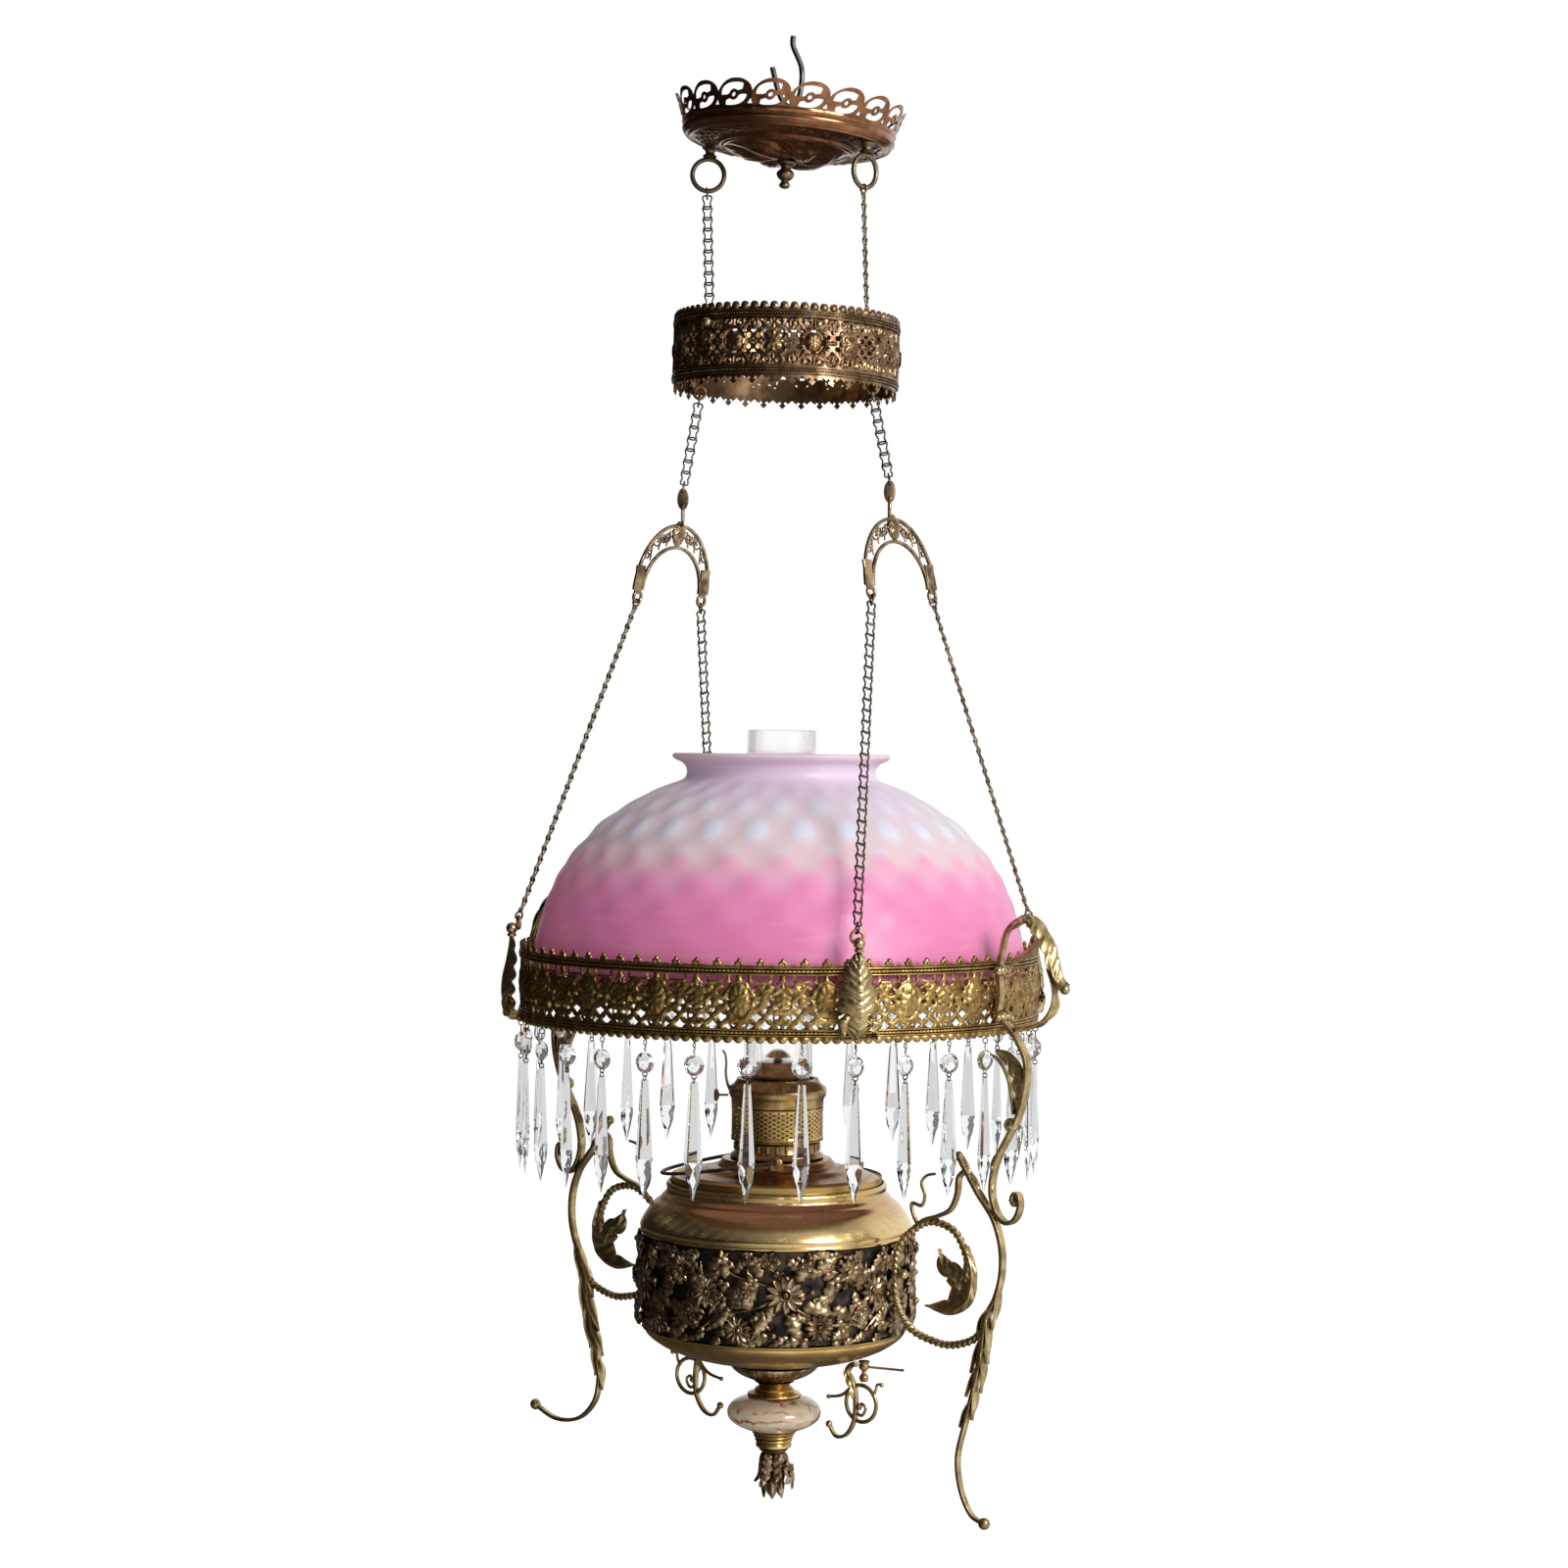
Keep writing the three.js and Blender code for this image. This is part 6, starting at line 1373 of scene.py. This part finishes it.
def drop_scroll():
    """A stem that ends in a curl, with a ring, a pair of short tips and small balls."""
    def scaled(*points):
        return upright(points, 13, 13)

    line = curve(scaled((0.1, 0.0), (-0.25, -0.1), (-0.5, -0.5), (-0.2, -0.9), (0, -1.3), (0.1, -2.2),
                        (0, -3.1),
                        (-0.5, -3.9), (-1.2, -4.1), (-1.7, -3.5)), 90)
    bar = swept(line, STRAP, np.linspace((2.6, 1.9), (1.6, 1.1), 90))
    acanthus = leaf(line[6:46], bulge(1, 4.4, 0.9, reach=1.1), 1.6, cup=-0.4, lobes=4, depth=0.3, ribs=0.6,
                    rows=44,
                    sides=20)
    tip = wire(scaled((-0.08, -1.05), (-0.5, -1.55), (-1, -1.85), (-1.75, -2)), 30, 1.5, 1.0)
    ring = wire_ring(13, 1.5, (5.85, 0, -27.3), count=64)
    inner = wire(scaled((0.05, -2.6), (0.5, -2.75), (0.75, -2.35), (0.5, -2.1), (0.3, -2.3)), 40, 1.2, 1.0)
    horn = wire(scaled((1.2, -1.6), (1.4, -1.3), (1.5, -0.95), (1.78, -0.9)), 24, 1.2, 0.9)
    balls = [ball(2.6, line[-1], 10, 14), ball(2.3, scaled((0.32, -2.3))[0], 10, 14),
             *[ball(1.7, at, 8, 12) for at in scaled((-1.75, -2), (1.8, -0.92))]]
    return join(bar, acanthus, tip, ring, inner, horn, *balls)


def drain_valve():
    """A boss with a hanging acorn and a thin lever rod."""
    boss = spun([(0, 0), (3.8, 0), (4, -0.8), (3.4, -2), (3.8, -4), (3.2, -6), (1.8, -7), (1.6, -9),
                 (2.6, -10),
                 (3.4, -12), (2.6, -14.6), (0, -15.4)], 32, 50)
    lever = placed(spun([(0, 0), (1.2, 0), (0.9, 1), (0.9, 28), (1.1, 29), (0.9, 30), (0, 30)], 16), 0, 90,
                   (0.5, 0, -4.2))
    return join(boss, lever)


def build_holder():
    holder = {"at": (0, 0, HOLDER)}
    make("shoulder_work", holder_shoulder(), "shoulder", "frame", "holder_shoulder")
    for k in range(5):
        nodes = ["floral_band"] if k == 0 else []
        make(f"floral_spray_{k + 1}", spray(72 * k), "bronze", "frame", *nodes, crease=50, **holder)
    # The pierced sheet and the liner behind it are near black: painted shade behind the flowers and through
    # the holes.
    make("floral_sheet", floral_sheet(), "painted_shade_black", "frame", **holder)
    make("holder_liner", holder_liner(), "painted_shade_black", "frame")
    make("bowl_work", holder_bowl(), "polished", "frame", "holder_bowl")
    work("leaf_cup", leaf_cup(), "bronze", slot="antique_brass", at=(0, 0, CUP))
    for name, node, finish in (("neck_work", "neck_collar", "polished"), ("onyx_bead", "onyx_knop", "onyx"),
                               ("collar_work", "lower_collar", "polished")):
        level, count, outline = TURNED[node]
        make(name, spun(outline, 96, count), finish, "frame", node, at=(0, 0, level))
    work("flower_drop", flower_drop(), "bronze", crease=55, at=(0, 0, DROP))
    rod = spun([(0, -937.2), (2.5, -937.8), (2.5, -943.6), (6.9, -944), (7, -950.6), (2.5, -951),
                (2.5, -1022.5),
                (0, -1023)], 36)
    work("tie_rod", rod, "iron")
    for side, turn in ARMS.items():
        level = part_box(f"drop_scroll_{side}")[1].z / MM + 0.2
        work(f"drop_scroll_{side}", drop_scroll(), "brass", crease=50, turn=turn,
             at=polar(SCROLLS, turn, level))
    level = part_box("drain_valve")[1].z / MM
    work("drain_valve", drain_valve(), "brass", turn=-24, at=polar(70, -24, level))


# Fount, burner and chimney

def oil_fount():
    """The tank with its stepped top, and a lug with an eye at either side for the bail."""
    tank = spun([(0, -884), (61, -883.6), (72, -880), (75.8, -872), (76, -824), (75.4, -822.2), (71, -821),
                 (68, -819.6), (64, -819), (56, -817.4), (50, -815), (46, -814.2), (43.2, -813.6), (42, -812),
                 (39.5, -809.4), (36, -808.2), (0, -808.2)], 144, 200)
    face = curve([(-4.4, -0.4), (4.4, -0.4), (4.4, 13), (3.2, 16.8), (0, 18.4), (-3.2, 16.8), (-4.4, 13)],
                 40, True)
    lugs = []
    for sign in (1, -1):
        rows = [np.stack([face[:, 0] * g, sign * 41.4 + y + 0 * face[:, 0], face[:, 1] * g + (1 - g) * 9], 1)
                for y, g in ((-1, 0.02), (-1, 0.94), (-0.7, 1), (0.7, 1), (1, 0.94), (1, 0.02))]
        lugs.append(placed(grid(np.stack(rows)), at=(0, 0, FOUNT)))
    return join(tank, *lugs)


def burner_base():
    """The stepped ring under the mesh, with a row of upright slots, and the wick tube inside."""
    ring = spun([(0, -807.6), (33.4, -807.6), (34, -806.6), (33, -805), (30.8, -803.6), (30.2, -802.4),
                 (30.2, -797), (31.6, -795.6), (33.2, -795), (33.2, -794.1), (24.9, -794), (24.9, -772.2),
                 (0, -772.2)], 96)
    bars = [swept([(30.3 * math.cos(a), 30.3 * math.sin(a), z) for z in (-802.2, -801, -799.5, -798.2,
                                                                         -797.2)],
                  FINE, 1.1) for a in full_turn(28)]
    return join(ring, *bars)


def burner_mesh():
    """A tube pierced with diamonds: two crossing sets of slanting wires, |sin| of x + y and of x - y."""
    length = math.tau * 33.2

    def metal(x, y):
        k = math.pi * 34 / length
        wires = 0.62 - np.minimum(np.abs(np.sin(k * x + y)), np.abs(np.sin(k * x - y)))
        return either(wires * 1.3, np.abs(y) - 9.4)

    def relief(x, y):
        return 0.3 * (np.abs(y) > 9.6)

    return pierced(length, (-11.2, 11.2), metal, round_wall(33.0), (420, 44), 0.8, relief)


def burner_dome():
    """A collar and a beaded flange on the mesh, a seat for the chimney, the dome and a bent prong."""
    cap = spun([(0, -770.6), (33.2, -770.6), (33.4, -765.4), (34.2, -764.2), (35.2, -762), (35.4, -759.4),
                (34.6, -757), (32.2, -755.4), (29.8, -752.6), (29.4, -750.9), (26.4, -750.9), (26.2, -753.6),
                (22.6, -753.6), (22.4, -752), (21.6, -749.4), (20, -746.4), (17.2, -744.6), (16, -743.4),
                (15.4, -740), (14.6, -739), (0, -739)], 96)
    prong = wire([(33.8, 0, -761), (36.2, 0, -756), (37.6, 0, -748), (37.4, 0, -740), (38.4, 0, -734),
                  (40.4, 0, -731.6)], 40, (3, 1.0), (1.6, 0.6), STRAP)
    return join(cap, placed(prong, 176))


def flame_spreader():
    """A button on a short stem."""
    return spun([(0, -739), (3, -739), (3, -736.2), (8.8, -736), (9, -735.2), (7.6, -733.4), (4.6, -731),
                 (2, -730.2),
                 (0, -730.1)], 48)


def wick_knob():
    """A milled wheel on its shaft, lying along X."""
    wheel_line = [(0, 0), (0.8, 0), (0.8, 6.4), (1.8, 6.6), (2, 7), (3.4, 7.2), (4.2, 7.8), (4.2, 9.4),
                  (3.6, 10.2),
                  (0, 10.5)]
    return placed(spun(wheel_line, 60, ripple=lambda a, r, z, s: 0.14 * np.cos(20 * a) * (r > 3.8)), 0, 90)


def chimney():
    """A plain glass tube, a little drawn in at the foot, with fire-polished ends."""
    return spun([(23.6, -753.5), (24.6, -753.6), (24.9, -752.4), (24.9, -520), (24.9, -500.6), (24.4, -499.9),
                 (23.7, -500.4), (23.5, -501.6), (23.4, -520), (23.4, -752)], 128, closed=True)


def fount_bail():
    """Half a ring of wire that leans back over the fount."""
    a, tilt = np.linspace(0, math.pi, 33), math.radians(9.3)
    x, y = -84 * np.sin(a), 44 * np.cos(a)
    return wire(np.stack([x * math.cos(tilt), y, -806.3 + x * math.sin(tilt)], 1), 120, 1.3, side=(0, 0, 1))


def build_burner():
    make("fount_work", oil_fount(), "fount", "fount", "oil_fount")
    make("burner_ring", burner_base(), "burner", "fount", "burner_base")
    make("burner_mesh_work", burner_mesh(), "polished", "fount", "burner_gallery", slot="antique_brass",
         at=(0, 0, GALLERY))
    make("burner_cap", burner_dome(), "burner", "fount", "burner_dome")
    make("spreader_work", flame_spreader(), "burner", "fount", "flame_spreader")
    low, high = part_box("wick_knob")
    make("wick_wheel", wick_knob(), "burner", "wick_knob", "wick_knob", turn=184,
         at=polar(35.6, 184, (low.z + high.z) / 2 / MM))
    make("chimney_glass", chimney(), "chimney", "chimney", "chimney")
    make("bail_wire", fount_bail(), "iron", "bail", "fount_bail")


# Room: white ground far below, a soft key from the right, a dark side on the left

BLACK, WHITE = (0, 0, 0, 1), (1, 1, 1, 1)


def floor_finish():
    """Near white; what glows in it makes it white to the eye and through glass, but leaves a shadow. To gloss
    it grows lighter towards the front and the right."""
    f = Finish("white ground", {"Roughness": 0.9, "Emission Strength": 1.0})
    eye, shine, passed = [f.node("LightPath", out=kind)
                          for kind in ("Is Camera Ray", "Is Glossy Ray", "Transmission Depth")]
    through = f.ramp(passed, 0, 1)
    gloss = shine * (1 - through)
    near = f.ramp(0.7 * f.place("X") - 0.55 * f.place("Y"), -0.4, 1.3)
    glow = eye * 0.75 + through * 0.3 + gloss * near * 0.4
    f.feed({"Base Color": f.mix(gloss * (1 - near), ink(244, 244, 244), ink(90, 84, 76)),
            "Emission Color": f.mix(glow, BLACK, WHITE)})
    return f.material


def lay_floor():
    mesh = bpy.data.meshes.new("floor")
    mesh.from_pydata([(x, y, -1.6) for x, y in ((-6, -6), (6, -6), (6, 6), (-6, 6))], [], [(0, 1, 2, 3)])
    mesh.materials.append(floor_finish())
    floor = bpy.data.objects.new("floor", mesh)
    bpy.context.scene.collection.objects.link(floor)


def light_room():
    """White to the eye and through glass. Gloss sees it behind and to the right of the lamp, and in front a
    dim room that grows lighter from left to right, which also lights the lamp."""
    world = bpy.data.worlds.new("room")
    bpy.context.scene.world = world
    world.use_nodes = True
    room = Wiring(world.node_tree, "Background")
    x, y, z = [room.node("SeparateXYZ", values={0: room.node("TexCoord")}, out=way) for way in (0, 1, 2)]
    eye, through, gloss = [room.node("LightPath", out=f"Is {kind} Ray")
                           for kind in ("Camera", "Transmission", "Glossy")]
    behind = room.ramp(y + 0.8 * x, 0.6, 1.0)
    dim = room.mix(room.ramp(x + 0.5 * z, -0.5, 0.95), (0.016, 0.015, 0.014, 1), (0.5, 0.49, 0.48, 1))
    plain = room.mix(room.ramp(x, -1.0, 1.0), (0.36, 0.33, 0.33, 1), (0.56, 0.56, 0.56, 1))
    front = room.mix(gloss, plain, dim)
    room.feed({"Color": room.mix(eye + (through + gloss) * behind + through * 0.14, front, WHITE)})


def light_key():
    """A soft lamp in front of the object, to its right and above its ring."""
    place, aim = Vector((1.6, -1.8, 0.25)), Vector((0, 0, -0.55))
    data = bpy.data.lights.new("key", "AREA")
    data.size, data.energy = 1.0, 44
    light = bpy.data.objects.new("key", data)
    light.location = place
    light.rotation_euler = (aim - place).to_track_quat("-Z", "Y").to_euler()
    bpy.context.scene.collection.objects.link(light)


bpy.context.scene.view_settings.view_transform = "Standard"
for step in (light_room, lay_floor, light_key, hang_canopy, hang_chains, hang_band, hang_yokes, dress_ring,
             hang_fringe, hang_arms, set_shade, build_holder, build_burner):
    step()
